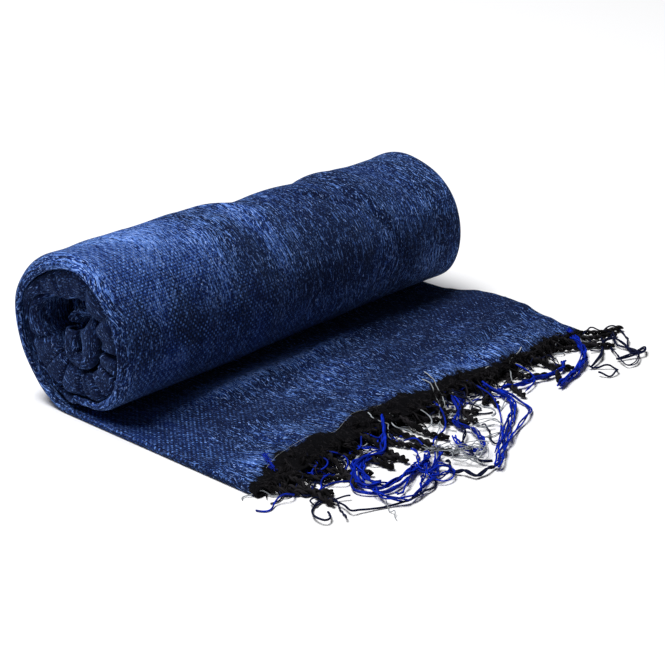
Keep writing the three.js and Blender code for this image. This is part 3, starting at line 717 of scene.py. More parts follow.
def strands(name, bundles, material):
    """Round strands along their paths, all in one piece: a ring of points at each step, at the strand's
    radius across the path, and a point on the path at each end. Each bundle is (paths, radii, sides)."""
    points, faces, tips, quad_uv, tip_uv, first = [], [], [], [], [], 0
    for paths, radii, sides in bundles:
        count, steps = paths.shape[:2]
        side, up = path_frames(paths)
        angle = FULL_TURN * np.arange(sides) / sides
        ring = np.cos(angle)[:, None] * side[:, :, None] + np.sin(angle)[:, None] * up[:, :, None]
        rings = paths[:, :, None] + radii[:, :, None, None] * ring
        index = first + np.arange(count * steps * sides).reshape(count, steps, sides)
        after = np.roll(index, -1, axis=2)
        faces.append(quads(index[:, :-1], after[:, :-1], after[:, 1:], index[:, 1:]))
        step, one_side = lengths(paths), FULL_TURN * radii.mean() / sides
        low, high = (
            np.broadcast_to(s[:, :, None], (count, steps - 1, sides)) for s in (step[:, :-1], step[:, 1:])
        )
        # The strands' patterns start 40 mm apart, so that no two are alike.
        width = one_side * np.arange(sides) + 40.0 * np.arange(count)[:, None, None]
        width = np.broadcast_to(width, low.shape)
        wide = width + one_side
        quad_uv.append(np.stack([width, low, wide, low, wide, high, width, high], -1).reshape(-1, 4, 2) * MM)
        ends = first + index.size + np.arange(2 * count).reshape(2, count)
        start, end = (np.broadcast_to(tip[:, None], (count, sides)) for tip in ends)
        tips += [np.stack([start, after[:, 0], index[:, 0]], -1).reshape(-1, 3)]
        tips += [np.stack([end, index[:, -1], after[:, -1]], -1).reshape(-1, 3)]
        for at, s in ((width[:, 0], low[:, 0]), (width[:, -1], high[:, -1])):
            tip_uv.append(np.repeat(np.stack([at, s], -1).reshape(-1, 1, 2), 3, axis=1) * MM)
        points += [rings.reshape(-1, 3), paths[:, 0], paths[:, -1]]
        first = ends.max() + 1
    corner_uv = np.concatenate([np.concatenate(uv).reshape(-1, 2) for uv in (quad_uv, tip_uv)])
    faces = [np.concatenate(faces), np.concatenate(tips)]
    return new_piece(name, np.concatenate(points), faces, material, corner_uv)


# ---- Shader node groups and materials ----


class NodeBuilder:
    """Adds nodes to a tree and links them, in the order in which they are used."""

    def __init__(self, tree):
        self.tree = tree
        tree.nodes.clear()

    def put(self, socket, value):
        """Link a socket to an input or, where the value is a number or a colour, set it."""
        if isinstance(value, bpy.types.NodeSocket):
            self.tree.links.new(value, socket)
        elif socket.type == "RGBA":
            socket.default_value = (*value[:3], 1.0)
        else:
            socket.default_value = value

    def add(self, kind, settings=None, **inputs):
        """A node with these settings and inputs; i0, i1 and so on are inputs by their number."""
        node = self.tree.nodes.new(kind)
        for key, value in (settings or {}).items():
            setattr(node, key, value)
        for key, value in inputs.items():
            number = key[0] == "i" and key[1:].isdigit()
            self.put(node.inputs[int(key[1:]) if number else key.replace("_", " ")], value)
        return node

    def math(self, operation, *values):
        inputs = {f"i{k}": value for k, value in enumerate(values)}
        return self.add("ShaderNodeMath", {"operation": operation}, **inputs).outputs[0]

    def mix(self, factor, a, b):
        return self.add("ShaderNodeMix", {"data_type": "RGBA"}, i0=factor, i6=a, i7=b).outputs[2]

    def noise(self, vector, scale, place=(0, 0), detail=2, roughness=0.5, distortion=0):
        """Noise that repeats this often in a metre each way."""
        moved = self.add("ShaderNodeMapping", Vector=vector, Scale=(*scale, 1), Location=(*place, 0))
        return self.add(
            "ShaderNodeTexNoise", Vector=moved.outputs[0], Scale=1.0, Detail=detail, Roughness=roughness,
            Distortion=distortion,
        ).outputs[0]

    def ramp(self, value, low, high, full=1.0):
        """0 at low and full at high, eased between them."""
        return self.add(
            "ShaderNodeMapRange", {"interpolation_type": "SMOOTHSTEP"}, Value=value, From_Min=low,
            From_Max=high, To_Max=full,
        ).outputs[0]

    def cloth_place(self):
        return self.add("ShaderNodeUVMap", {"uv_map": "cloth"}).outputs[0]

    def group(self, tree, **inputs):
        return self.add("ShaderNodeGroup", {"node_tree": tree}, **inputs).outputs


def node_group(name, inputs, outputs):
    """A new shader node group with these named sockets, as (tree, builder, input sockets, output node).
    An input's default is a number, a colour or, for a vector, None."""
    tree = bpy.data.node_groups.new(name, "ShaderNodeTree")
    kinds = {"value": "NodeSocketFloat", "colour": "NodeSocketColor", "vector": "NodeSocketVector"}
    for socket, (kind, default) in inputs.items():
        made = tree.interface.new_socket(socket, in_out="INPUT", socket_type=kinds[kind])
        if default is not None:
            made.default_value = (*default, 1.0) if kind == "colour" else default
    for socket, kind in outputs.items():
        tree.interface.new_socket(socket, in_out="OUTPUT", socket_type=kinds[kind])
    build = NodeBuilder(tree)
    entry = build.add("NodeGroupInput").outputs
    return tree, build, entry, build.add("NodeGroupOutput").inputs


def plain_weave_group():
    """Plain weave: where the sine across times the sine along is positive the warp passes over, and
    elsewhere the weft does. Height is the rounded thread tops, Hole the gaps between them, Float how far
    the warp is on top, and Pick a random number for each thread's top."""
    tree, build, entry, out = node_group(
        "Plain weave", {"Vector": ("vector", None), "Pitch": ("value", 0.004), "Unevenness": ("value", 0.3)},
        {"Height": "value", "Hole": "value", "Float": "value", "Pick": "value"},
    )
    wobble = build.math("SUBTRACT", build.noise(entry["Vector"], (150, 70), detail=1), 0.5)
    wobble = build.math("MULTIPLY", wobble, entry["Unevenness"])
    split = build.add("ShaderNodeSeparateXYZ", Vector=entry["Vector"]).outputs
    waves, cells = [], []
    for axis, longer in ((0, 1.0), (1, 1.15)):
        pitch = build.math("MULTIPLY", entry["Pitch"], longer)
        repeats = build.math("ADD", build.math("DIVIDE", split[axis], pitch), wobble)
        waves.append(build.math("SINE", build.math("MULTIPLY", repeats, FULL_TURN)))
        cells.append(build.math("FLOOR", build.math("MULTIPLY", repeats, 2.0)))
    cell = build.add("ShaderNodeCombineXYZ", X=cells[0], Y=cells[1]).outputs[0]
    pick = build.add("ShaderNodeTexWhiteNoise", {"noise_dimensions": "2D"}, Vector=cell).outputs["Value"]
    product = build.math("MULTIPLY", waves[0], waves[1])
    tops = build.math("ABSOLUTE", product)
    build.put(out["Height"], build.math("MULTIPLY_ADD", product, 0.35, build.math("MULTIPLY", tops, 0.65)))
    build.put(out["Hole"], build.math("SUBTRACT", 1.0, build.ramp(tops, 0.05, 0.6)))
    build.put(out["Float"], build.ramp(product, 0.1, 0.8))
    build.put(out["Pick"], pick)
    return tree


def heather_group():
    """Heathered warp, brushed: broad bands and the piece's own Tone pick between the dyes, and the nap's
    layers of long narrow strands, hairs and grain sway along the warp over them. Tone also carries the
    painted light and shade that the pieces set in it."""
    tree, build, entry, out = node_group(
        "Heathered warp",
        {
            "Vector": ("vector", None), "Tone": ("value", 0.0), "Royal": ("colour", (0, 0, 1)),
            "Grey": ("colour", (0.5, 0.5, 1)), "Navy": ("colour", (0, 0, 0.1)),
            "Brown": ("colour", (0.1, 0.1, 0.1)), "Lint": ("colour", (1, 1, 1)),
            "Pale": ("colour", (1, 1, 1)),
        },
        {"Base": "colour", "Colour": "colour", "Streaks": "value"},
    )
    split = build.add("ShaderNodeSeparateXYZ", Vector=entry["Vector"]).outputs
    sway = build.math("MULTIPLY_ADD", build.noise(entry["Vector"], (24, 20)), 0.02, split[0])
    where = build.add("ShaderNodeCombineXYZ", X=sway, Y=split[1]).outputs[0]
    shown = {
        name: build.math("MULTIPLY_ADD", entry["Tone"], raised, build.noise(where, *noise))
        for name, (*noise, raised) in HEATHER_NOISES.items()
    }
    bands = build.math("MULTIPLY_ADD", build.ramp(shown["bands"], 0.36, 0.64), 0.75, 0.12)
    base = build.mix(bands, entry["Navy"], entry["Royal"])
    colour = base = build.mix(build.ramp(shown["patches"], 0.48, 0.72, 0.6), base, entry["Brown"])
    for noise, low, high, full, dye in NAP_LAYERS:
        colour = build.mix(build.ramp(shown[noise], low, high, full), colour, entry[dye])
    build.put(out["Base"], base)
    build.put(out["Colour"], colour)
    grain = build.math("MULTIPLY", shown["grain"], 0.5)
    build.put(out["Streaks"], build.math("MULTIPLY_ADD", shown["hairs"], 0.5, grain))
    return tree


def fibre_group():
    """Spun fibre: fine streaks along the yarn that darken it and raise it a little, and long slubs that dim
    it. The dimming is partly the fibres' own streaks and partly painted shade of the twist and of yarn
    lying in shadow.
    """
    tree, build, entry, out = node_group(
        "Spun fibre", {"Vector": ("vector", None), "Colour": ("colour", (1, 1, 1)), "Shade": ("value", 0.5)},
        {"Colour": "colour", "Height": "value"},
    )
    streaks = build.noise(entry["Vector"], (2600, 260), detail=3, roughness=0.6, distortion=0.5)
    slubs = build.noise(entry["Vector"], (30, 75), detail=1)
    # Partly painted shade: Shade dims the yarn's colour in its streaks and slubs.
    darker = build.mix(entry["Shade"], entry["Colour"], (0, 0, 0))
    colour = build.mix(build.ramp(streaks, 0.35, 0.62), darker, entry["Colour"])
    build.put(out["Colour"], build.mix(build.ramp(slubs, 0.43, 0.57, 0.93), colour, darker))
    build.put(out["Height"], streaks)
    return tree


GROUP_MAKERS = {
    "Plain weave": plain_weave_group, "Heathered warp": heather_group, "Spun fibre": fibre_group,
}


def shared_group(title):
    """The named node group, built the first time that it is asked for."""
    return bpy.data.node_groups.get(title) or GROUP_MAKERS[title]()


def new_material(name, roughness, sheen, sheen_tint):
    """A matt cloth or yarn material, as (material, builder, its shader's sockets)."""
    material = bpy.data.materials.new(name)
    material.use_nodes = True
    build = NodeBuilder(material.node_tree)
    shader = build.add(
        "ShaderNodeBsdfPrincipled", Roughness=roughness, Specular_IOR_Level=0.08, Sheen_Weight=sheen,
        Sheen_Roughness=0.5, Sheen_Tint=sheen_tint,
    )
    build.add("ShaderNodeOutputMaterial", Surface=shader.outputs[0])
    return material, build, shader.inputs


def cover(build, shader, colour, height, strength, distance):
    """Colour a surface, and raise it by its height."""
    build.put(shader["Base Color"], colour)
    bump = build.add("ShaderNodeBump", Strength=strength, Distance=distance, Height=height)
    build.put(shader["Normal"], bump.outputs[0])


def brushed_cloth(name, sizes, colours):
    """The heathered weave, brushed in places. On each piece, frayed turns it to bare black warp, brushed
    hides the weave under its nap, and tone shifts its dye and also brightens or dims it as painted light
    and shade."""
    material, build, shader = new_material(name, 0.92, 0.16, (0.2, 0.4, 1.0))
    where = build.cloth_place()
    frayed, brushed, tone = (
        build.add("ShaderNodeAttribute", {"attribute_name": key}).outputs["Fac"]
        for key in ("frayed", "brushed", "tone")
    )
    heather = build.group(
        shared_group("Heathered warp"), Vector=where, Tone=tone, Royal=colours.royal, Grey=colours.grey_blue,
        Navy=colours.navy, Brown=colours.brown_grey, Lint=colours.lint, Pale=colours.pale_fibre,
    )
    weave = build.group(shared_group("Plain weave"), Vector=where, Pitch=sizes.weave_pitch, Unevenness=0.3)
    pick = weave["Pick"]
    warp = build.mix(build.ramp(pick, -0.3, 1.0), heather["Base"], colours.grey_blue)
    warp = build.mix(build.ramp(pick, 0.25, 1.1, 0.9), warp, colours.lint)
    weft = build.mix(build.ramp(pick, 0.5, 1.0, 0.5), heather["Base"], colours.grey_blue)
    weft = build.mix(0.5, weft, colours.navy)
    woven = build.mix(weave["Hole"], build.mix(weave["Float"], weft, warp), colours.navy)
    worn = build.ramp(build.noise(where, (26, 18), (5, 5)), 0.35, 0.65, 0.5)
    worn = build.math("ADD", worn, build.math("SUBTRACT", brushed, 0.25))
    nap = build.math("ADD", build.ramp(worn, 0.0, 0.9, 0.6), 0.3)
    colour = build.mix(frayed, build.mix(nap, woven, heather["Colour"]), colours.frayed)
    raised = build.math("MULTIPLY", weave["Height"], build.math("SUBTRACT", 1.1, nap))
    raised = build.math("MULTIPLY_ADD", heather["Streaks"], 0.9, raised)
    cover(build, shader, colour, raised, 0.9, 0.0009)
    return material


def bare_warp(name, colours):
    """The bare black warp at the cut edge: matted tufts with a few worn, paler fibres."""
    material, build, shader = new_material(name, 0.95, 0.0, (1, 1, 1))
    tuft = build.noise(build.cloth_place(), (520, 200), detail=4, roughness=0.75, distortion=1.5)
    colour = build.mix(build.ramp(tuft, 0.54, 0.66, 0.9), colours.frayed, colours.worn_wool)
    cover(build, shader, colour, tuft, 1.0, 0.003)
    return material


def spun_yarn(name, colour, shade, roughness, sheen):
    """A yarn or twisted end in one dye, streaked along its fibres."""
    material, build, shader = new_material(name, roughness, sheen, colour)
    fibre = build.group(shared_group("Spun fibre"), Vector=build.cloth_place(), Colour=colour, Shade=shade)
    cover(build, shader, fibre["Colour"], fibre["Height"], 0.6, 0.0003)
    return material


def finish(name):
    """The named material, made the first time that it is asked for."""
    if name in bpy.data.materials:
        return bpy.data.materials[name]
    scene = bpy.context.scene
    if name == "brushed heathered cloth":
        return brushed_cloth(name, scene.shawl_sizes, scene.shawl_colours)
    if name == "bare black warp":
        return bare_warp(name, scene.shawl_colours)
    dye, *looks = YARN_DYES[name]
    return spun_yarn(name, getattr(scene.shawl_colours, dye), *looks)


# ---- Building each group of pieces ----


def sheet_of(context):
    return DoubledSheet(context.scene.shawl_sizes)


def frayed_share(sheet, x, reach, upper):
    """1 on the bare black warp along the cut edge, with a ragged line between it and the blue. The band is
    narrower on the under ply."""
    depth = between(FRAYED_DEPTH, x)[0] * (0.35 + 0.65 * upper)
    depth = depth + 3.6 * soft_noise(x / 2.6, reach / 9, seed=8) + 3 * soft_noise(x / 9, reach / 30, seed=9)
    return smoothstep(reach, sheet.reach - depth - FRAY_FROM, sheet.reach - depth + FRAY_TO)


def bare_faces(piece, material):
    """Give a material to the piece's faces whose points are mostly frayed."""
    mesh = piece.data
    frayed = np.empty(len(mesh.vertices), np.float32)
    mesh.attributes["frayed"].data.foreach_get("value", frayed)
    corners = np.empty(len(mesh.loops), np.int32)
    mesh.loops.foreach_get("vertex_index", corners)
    bare = frayed[corners.reshape(-1, 4)].mean(1) > MOSTLY_FRAYED
    mesh.materials.append(material)
    mesh.polygons.foreach_set("material_index", bare.astype(np.int32))


def roll_values(middle, turn):
    """What the cloth's material reads on the roll: no bare warp, the nap, and the tone's patches of dye and
    painted light. The nap is full in the folded end and on the turns inside it, which are also dimmed
    there as painted shade."""
    x, degrees = middle[..., 0], np.degrees(turn)
    full, least, end_nap, end_painted_shade = 0.9, 0.2, 0.85, 1.1
    brushed = least + (full - least) * smoothstep(x - 1.4 * (degrees - 250), -130, 40)
    napped = np.maximum(1 - smoothstep(x, -171, -160), smoothstep(degrees, 340, 380))
    brushed = brushed + (end_nap - brushed) * napped
    # Painted shade: the folded end's face and the turns inside it are dimmed in the tone.
    in_the_end = (1 - smoothstep(x, -172, -158)) * smoothstep(degrees, 335, 375)
    tone = patches(ROLL_TONES_AND_PAINTED_LIGHT, x, degrees) - end_painted_shade * in_the_end
    return {"frayed": np.zeros(x.shape), "brushed": brushed, "tone": tone}


class SHAWL_OT_flat_end(bpy.types.Operator):
    """Lay the flat end of the doubled cloth, from its cut edge to where it passes under the roll"""

    bl_idname = "shawl.flat_end"
    bl_label = "Flat end"

    def execute(self, context):
        sheet = sheet_of(context)
        under = ply_stations(sheet.selvage, count=60, crowd=1.2)
        station = across(under, ply_stations(sheet.selvage, count=196, crowd=1.03))
        resting = np.radians(RESTING_DEGREES)
        from_edge = np.linspace(0, 1, 92) ** 1.12 * (sheet.reach - 4)
        s, r = np.meshgrid(station, np.append(sheet.reach - from_edge, 1.5), indexing="ij")
        under_roll, turn = np.meshgrid(station, np.linspace(0, resting, 4), indexing="ij")
        flat = sheet.on_flat_end(s, r)
        middle = np.concatenate([flat, sheet.on_roll(under_roll, turn)], 1)
        x, place = middle[..., 0], np.concatenate([r, np.zeros(turn.shape)], 1)
        frayed = frayed_share(sheet, flat[..., 0], r, (s > 0).astype(float))
        values = {
            "frayed": np.concatenate([frayed, np.zeros(turn.shape)], 1),
            "brushed": 0.3 + 0.6 * smoothstep(x + 0.7 * place, -110, -20),
            # The tone holds dye patches and the painted light and shade of the flat end.
            "tone": patches(TAIL_TONES_AND_PAINTED_LIGHT, x, place),
        }
        along = np.concatenate([-r, turn * sheet.radius], 1)
        piece = cloth_wall("flat_end", sheet, middle, along, station, values)
        bare_faces(piece, finish("bare black warp"))
        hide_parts("tail")
        return {"FINISHED"}


class SHAWL_OT_outer_turn(bpy.types.Operator):
    """Roll the outer turn of the doubled cloth once round"""

    bl_idname = "shawl.outer_turn"
    bl_label = "Outer turn"

    def execute(self, context):
        sheet = sheet_of(context)
        under = ply_stations(sheet.selvage, count=190, crowd=1.08)
        station = across(under, ply_stations(sheet.selvage, count=44, crowd=1.5), bend=16)
        resting = np.radians(RESTING_DEGREES)
        s, turn = np.meshgrid(station, np.linspace(resting, FULL_TURN, 186), indexing="ij")
        middle = sheet.on_roll(s, turn)
        values = roll_values(middle, turn)
        piece = cloth_wall("outer_turn_cloth", sheet, middle, turn * sheet.radius, station, values)
        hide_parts("outer_turn")
        return {"FINISHED"}


class SHAWL_OT_hidden_turns(bpy.types.Operator):
    """Roll the turns inside the outer one, whose folds show in the end of the roll"""

    bl_idname = "shawl.hidden_turns"
    bl_label = "Hidden turns"

    def execute(self, context):
        sheet = sheet_of(context)
        last = sheet.selvage - 2
        ply = np.concatenate([1 + np.linspace(0, 60, 31), np.linspace(80, last, 9)])
        station = across(ply, ply, bend=18)
        outer, inner = (np.linspace(start, end, count) * FULL_TURN for start, end, count in (
            (1, CRUMPLED_TURNS, 300), (CRUMPLED_TURNS, sheet.turns, 100)
        ))
        s, turn = np.meshgrid(station, np.concatenate([outer[:-1], inner]), indexing="ij")
        middle = sheet.on_roll(s, turn)
        along = turn * (sheet.radius - sheet.pitch * turn / FULL_TURN / 2)
        values = roll_values(middle, turn)
        piece = cloth_wall("hidden_turns_cloth", sheet, middle, along, station, values)
        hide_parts("hidden_turns")
        self.fold_innermost(sheet, last - CORE_SHORT)
        return {"FINISHED"}

    def fold_innermost(self, sheet, last):
        """The innermost folds, whose flat length is their area over their width."""
        ply = np.concatenate([1 + np.linspace(0, 56, 29), np.linspace(70, last, 7)])
        station = across(ply, ply, bend=14)
        s, share = np.meshgrid(station, np.linspace(0, 1, 220), indexing="ij")
        middle = sheet.innermost(s, share)
        values = roll_values(middle, FULL_TURN + share)
        piece = cloth_wall("innermost_folds", sheet, middle, share * CORE_LENGTH, station, values)


def edge_roots(sheet, x, upper, back):
    """Points in the plies' middles, this far in from the cut edge."""
    station = np.where(upper > 0.5, 1.0, -1.0) * (x - sheet.foremost - sheet.ply_spread / 2 + 1)
    return sheet.on_flat_end(station, sheet.reach - back)


def way_along(roots, way, s):
    """The X and Y of strands that leave their roots on this heading, from straight ahead towards the
    selvages, at each length s."""
    step = np.gradient(s, axis=1)
    x, y = np.cumsum(np.sin(way) * step, 1), -np.cumsum(np.cos(way) * step, 1)
    return roots[:, :1] + x - x[:, :1], roots[:, 1:2] + y - y[:, :1]


def laid_paths(roots, heading, bend, length, rest, steps, wander=0.0, seed=0, arch=0.0):
    """Strands that leave the cloth's edge, fall to the surface and lie on it: the heading turns evenly by
    bend along each strand, with slow random waves of wander, and the height eases from the root to rest."""
    count = len(roots)
    share = np.linspace(0, 1, steps)[None, :] * np.ones((count, 1))
    s = share * length[:, None]
    random = np.random.default_rng(seed)
    way = heading[:, None] + bend[:, None] * share
    for wave in (0.8, 1.5, 2.6):
        size, phase = random.uniform(-1, 1, (count, 1)), random.uniform(0, 1, (count, 1))
        swing = np.sin(FULL_TURN * (wave * share + phase)) - np.sin(FULL_TURN * phase)
        way = way + wander * size / wave**0.6 * swing
    x, y = way_along(roots, way, s)
    start = roots[:, 2:3]
    out = np.maximum(s - 3, 0) * smoothstep(roots[:, 1:2] - y, -6, 2)
    fall = smoothstep(out, 0, 9 + 2 * start)
    lift = arch * random.uniform(0.2, 1, (count, 1)) * np.sin(np.pi * smoothstep(share, 0.2, 1)) ** 2
    lift = lift * (0.5 + 0.5 * np.sin(FULL_TURN * (1.6 * share + random.uniform(0, 1, (count, 1)))))
    return np.stack([x, y, start * (1 - fall) + rest * fall + lift], -1)


def draped(sheet, way, half, number, stray, steps=84):
    """Yarns laid along given points: a smooth curve over its points, from which each strand of a bundle
    strays by slow noise. They rest on the flat end as far as the cut edge, and fall from it to the floor
    in a short way."""
    share, strand = np.linspace(0, 1, steps)[None, :], np.arange(number)[:, None]
    seed = int(abs(way[0][0])) + number
    paths = np.repeat(resampled([[(*point, 0.0) for point in way]], steps), number, 0)
    kinks = 1.2 * soft_noise(share * 14, 1.7 * strand, seed=seed)
    slow = [stray * soft_noise(share * 6.5, 2.3 * strand + 0.4, seed=seed + axis) for axis in (1, 2, 3)]
    x, y = paths[..., 0] + kinks + slow[0], paths[..., 1] + slow[1]
    on_cloth = 1.5 * sheet.cloth + sheet.tail_spread(x, np.minimum(-y, sheet.reach - 2)) + half
    fall = smoothstep(-y, sheet.reach - 4, sheet.reach + 6 + on_cloth)
    ripple = 1.2 * (1 + np.sin(FULL_TURN * 3 * share + strand + way[0][0])) * fall
    z = on_cloth * (1 - fall) + (half + 0.2) * fall + ripple + 0.5 * (stray + slow[2]) * fall
    return np.stack([x, y, z], -1)


class SHAWL_OT_twisted_ends(bpy.types.Operator):
    """Twist the black ends of the warp along both plies' cut edges"""

    bl_idname = "shawl.twisted_ends"
    bl_label = "Twisted ends"

    def execute(self, context):
        sheet, sizes, rows = sheet_of(context), context.scene.fringe_sizes, TWISTED_ENDS
        twist_pitch, tuft_steps = 11.0, 22
        half = sizes.twist_width / MM / 2
        length = rows["length"] + 6
        paths = laid_paths(
            edge_roots(sheet, rows["x"], rows["upper"], ROOT_DEPTH), np.radians(rows["heading"]),
            np.radians(rows["bend"]) * 2, length, 1.2 * half, steps=44, wander=0.12, seed=4,
        )
        paths[..., 2] = np.maximum(paths[..., 2], 1.2 * half)
        share = np.linspace(0, 1, paths.shape[1])[None, :]
        swell = 0.78 + 0.22 * smoothstep(share, 0.0, 0.25) + 0.16 * crest(share - 0.9, 0.1)
        size = half * swell * (1 - 0.35 * smoothstep(share, 0.95, 1.0)) * np.ones((len(paths), 1))
        twisted = plied(paths, size * 0.52, length / twist_pitch, 2)
        random, number = np.random.default_rng(sizes.seed + 20), sizes.tuft_count
        x = random.uniform(sheet.near + 5, sheet.far - 5, number)
        tufts = laid_paths(
            edge_roots(sheet, x, random.integers(0, 2, number), ROOT_DEPTH),
            np.radians(random.normal(8, 26, number)), random.normal(0, 0.9, number),
            random.uniform(8, 24, number), 0.36 * half + 0.2, tuft_steps, wander=0.5, seed=6, arch=2.0,
        )
        thin = 0.34 * half * (1 - 0.75 * np.linspace(0, 1, tuft_steps) ** 2) * np.ones((number, 1))
        bundles = [(twisted, np.concatenate([size * 0.5] * 2), 8), (tufts, thin, 5)]
        piece = strands("twisted_ends", bundles, finish("black wool"))
        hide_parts("fringe_upper", "fringe_under")
        return {"FINISHED"}


class SHAWL_OT_rovings(bpy.types.Operator):
    """Lay the thick blue rovings"""

    bl_idname = "shawl.rovings"
    bl_label = "Blue rovings"

    def execute(self, context):
        half = context.scene.fringe_sizes.roving_width / MM / 2
        share = np.linspace(0, 1, 90)[None, :]
        bundles = []
        for k, controls in enumerate(ROVINGS):
            path = resampled([controls], share.size)
            path[..., 2] = np.maximum(path[..., 2], 1.1 * half)
            thick = half * (1.0 if k == 0 else 0.62)
            radius = thick * (0.85 + 0.15 * np.sin(FULL_TURN * 3 * share + k))
            radius = radius * (1 - 0.5 * smoothstep(share, 0.9, 1))
            twisted = plied(path, radius * 0.45, np.array([5.0 + 2 * k]), 3)
            bundles.append((twisted, np.concatenate([radius * 0.6] * 3), 8))
        strands("blue_rovings", bundles, finish("blue roving"))
        return {"FINISHED"}


class SHAWL_OT_loose_yarns(bpy.types.Operator):
    """Scatter the loose yarns that have sprung free of the fringe, in three dyes"""

    bl_idname = "shawl.loose_yarns"
    bl_label = "Loose yarns"

    def execute(self, context):
        sheet, sizes = sheet_of(context), context.scene.fringe_sizes
        random = np.random.default_rng(sizes.seed)
        half = sizes.yarn_width / MM / 2
        dyes = {dye: [] for dye in YARN_SLOTS}
        for k, row in enumerate(zip(*YARN_GROUPS.values())):
            start, end, number, length, curl, heading, wander, upper, blue, pale = row
            number = int(number)
            x = random.uniform(start, end, number)
            upper = (random.uniform(0, 1, number) < upper).astype(float)
            heading = np.radians(heading + random.normal(0, 22, number))
            curl = random.normal(0, curl, number) * FULL_TURN * 0.5
            length = length * random.uniform(0.6, 1.15, number)
            paths = laid_paths(
                edge_roots(sheet, x, upper, ROOT_DEPTH), heading, curl, length, half + 0.1, 84, wander,
                sizes.seed + k, arch=5.0,
            )
            x, y = paths[..., 0], paths[..., 1]
            kept = (x.min(1) > -190) & (x.max(1) < 222) & (y.min(1) > -280) & (y.max(1) < 12 - sheet.reach)
            paths = paths[kept]
            share = random.uniform(0, 1, len(paths))
            for (dye, bundles), low, high in zip(dyes.items(), (0, blue, 1 - pale), (blue, 1 - pale, 1.01)):
                chosen = paths[(share >= low) & (share < high)]
                if len(chosen):
                    thin = 0.75 if dye == "pale yarn" else 1.0
                    bundles.append((chosen, np.full(chosen.shape[:2], half * thin), 5))
        for dye, rows in LAID_YARNS.items():
            for thick, number, stray, *way in rows:
                paths = draped(sheet, way, half * thick, number, stray)
                dyes[dye].append((paths, np.full(paths.shape[:2], half * thick), 6))
        for dye, bundles in dyes.items():
            strands("loose_" + dye.replace(" ", "_"), bundles, finish(dye))
        return {"FINISHED"}


class SHAWL_OT_edge_fuzz(bpy.types.Operator):
    """Tease short locks of fibres out of the black edge, and loops of weft out of the far selvage"""

    bl_idname = "shawl.edge_fuzz"
    bl_label = "Edge fuzz"

    def execute(self, context):
        sheet, sizes = sheet_of(context), context.scene.fringe_sizes
        random = np.random.default_rng(sizes.seed + 50)
        bundles = [self.fibres(sheet, sizes, random), self.loops(sheet, random)]
        strands("edge_fuzz", bundles, finish("black wool"))
        return {"FINISHED"}

    def fibres(self, sheet, sizes, random):
        """Fibres that lie on the black band in locks, each bending one way, and fall past the cut edge."""
        number = sizes.fuzz_count
        locks = number // FIBRES_A_LOCK
        lock = random.integers(0, locks, number)
        x = random.uniform(sheet.near + 6, sheet.far - 7, locks)[lock] + random.normal(0, 0.9, number)
        upper = (random.uniform(0, 1, locks) < 0.72).astype(float)[lock]
        depth = random.uniform(-0.05, 0.8, locks)[lock] + random.normal(0, 0.03, number)
        roots = edge_roots(sheet, x, upper, between(FRAYED_DEPTH, x)[0] * depth)
        heading = random.normal(0.25, 0.9, locks)[lock] + random.normal(0, 0.22, number)
        length = random.uniform(5, 13, locks)[lock] * random.uniform(0.6, 1, number)
        bend = random.normal(0, 2.6, locks)[lock] + random.normal(0, 0.6, number)
        share = np.linspace(0, 1, 7)[None, :]
        way = heading[:, None] + bend[:, None] * share
        x, y = way_along(roots, way, share * length[:, None])
        rise = random.uniform(0.2, 3.0, locks)[lock][:, None] * np.sin(np.pi * share)
        top = sheet.cloth * 1.5 + sheet.tail_spread(x, np.minimum(-y, sheet.reach)) - 0.3
        held = np.where(upper[:, None] > 0.5, top, sheet.cloth / 2)
        z = np.maximum(held * (1 - smoothstep(-y - sheet.reach, 0, 9)) + rise, 0.35)
        radius = sizes.fuzz_width / MM / 2 * np.ones(x.shape)
        radius[:, -1] *= 0.4
        return np.stack([x, y, z], -1), radius, 3

    def loops(self, sheet, random):
        """Uneven arcs of weft that stand out from the far selvage."""
        low, high, count, out = SELVAGE_LOOPS
        place = np.linspace(low, high, count)[:, None] + random.uniform(-4, 4, (count, 1))
        angle = np.linspace(0, 1, 14)[None, :] * random.uniform(0.7, 1.9, (count, 1)) * np.pi
        size = out * random.uniform(0.25, 1.0, (count, 1))
        height = 0.6 + sheet.tail_spread(sheet.far - 2, -place) * random.uniform(0.2, 0.9, (count, 1))
        x, y = sheet.far - 1.5 + size * (1 - np.cos(angle)), place + size * np.sin(angle)
        return np.stack([x, y, height + 0 * angle], -1), np.full(x.shape, 0.3), 5


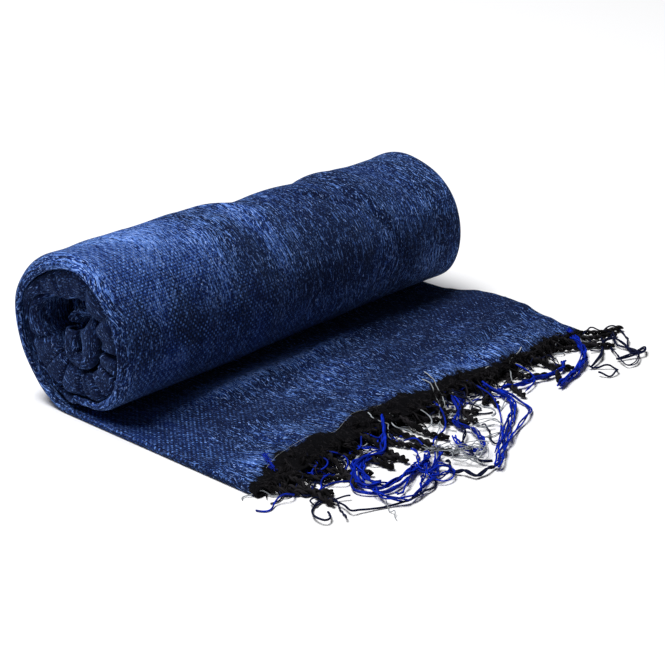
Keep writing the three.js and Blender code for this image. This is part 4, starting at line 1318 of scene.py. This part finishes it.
class SHAWL_OT_studio(bpy.types.Operator):
    """Set up the pale floor, the soft light and the camera"""

    bl_idname = "shawl.studio"
    bl_label = "Studio"

    def execute(self, context):
        scene, studio = context.scene, context.scene.studio_settings
        self.lay_floor(scene, studio)
        world = bpy.data.worlds.new("white room")
        world.use_nodes = True
        background = world.node_tree.nodes["Background"].inputs
        background["Color"].default_value = (1, 1, 1, 1)
        background["Strength"].default_value = studio.ambient
        scene.world = world
        place, target = Vector((-0.90, 1.10, 4.85)), Vector((0.0, -0.06, 0.04))
        lamp = bpy.data.lights.new("key light", "AREA")
        lamp.shape, lamp.size, lamp.size_y, lamp.energy = "RECTANGLE", 2.8, 2.2, studio.key_watts
        key = bpy.data.objects.new("key light", lamp)
        key.location = place
        key.rotation_euler = (target - place).to_track_quat("-Z", "Y").to_euler()
        scene.collection.objects.link(key)
        lens = bpy.data.cameras.new("camera")
        lens.sensor_width, lens.lens, lens.clip_end = 36.0, studio.focal_mm, 50
        camera = bpy.data.objects.new("camera", lens)
        camera.location = studio.camera_place
        camera.rotation_euler = np.radians((90 - studio.camera_elevation, 0, studio.camera_azimuth))
        scene.collection.objects.link(camera)
        scene.camera = camera
        scene.view_settings.view_transform = "Standard"
        return {"FINISHED"}

    def lay_floor(self, scene, studio):
        """A square of floor, a hair under the resting surface."""
        side, drop = 6.0, -0.0002
        corners = [(x * side, y * side, drop) for x, y in ((-1, -1), (1, -1), (1, 1), (-1, 1))]
        mesh = bpy.data.meshes.new("floor")
        mesh.from_pydata(corners, [], [(0, 1, 2, 3)])
        floor = bpy.data.objects.new("floor", mesh)
        scene.collection.objects.link(floor)
        material = bpy.data.materials.new("pale floor")
        material.use_nodes = True
        shader = material.node_tree.nodes["Principled BSDF"].inputs
        shader["Base Color"].default_value = (*studio.floor_colour, 1)
        shader["Roughness"].default_value = 0.9
        mesh.materials.append(material)


class SHAWL_PT_panel(bpy.types.Panel):
    """Everything that builds the shawl"""

    bl_idname = "SHAWL_PT_panel"
    bl_label = "Rolled shawl"
    bl_space_type = "VIEW_3D"
    bl_region_type = "UI"
    bl_category = "Shawl"

    def draw(self, context):
        layout = self.layout
        for operator in OPERATORS:
            layout.operator(operator.bl_idname)
        for owner, group in SETTINGS.items():
            box = layout.box()
            box.label(text=group.__doc__)
            for name in group.__annotations__:
                box.prop(getattr(context.scene, owner), name)


OPERATORS = (
    SHAWL_OT_studio, SHAWL_OT_flat_end, SHAWL_OT_outer_turn, SHAWL_OT_hidden_turns, SHAWL_OT_twisted_ends,
    SHAWL_OT_rovings, SHAWL_OT_loose_yarns, SHAWL_OT_edge_fuzz,
)
SETTINGS = {
    "shawl_sizes": ShawlSizes, "fringe_sizes": FringeSizes, "shawl_colours": ShawlColours,
    "studio_settings": StudioSettings,
}


def register():
    for item in (*SETTINGS.values(), *OPERATORS, SHAWL_PT_panel):
        bpy.utils.register_class(item)
    for owner, group in SETTINGS.items():
        setattr(bpy.types.Scene, owner, PointerProperty(type=group))


def unregister():
    for owner in SETTINGS:
        delattr(bpy.types.Scene, owner)
    for item in reversed((*SETTINGS.values(), *OPERATORS, SHAWL_PT_panel)):
        bpy.utils.unregister_class(item)


def main():
    register()
    for operator in OPERATORS:
        family, name = operator.bl_idname.split(".")
        getattr(getattr(bpy.ops, family), name)()


if __name__ == "__main__":
    main()
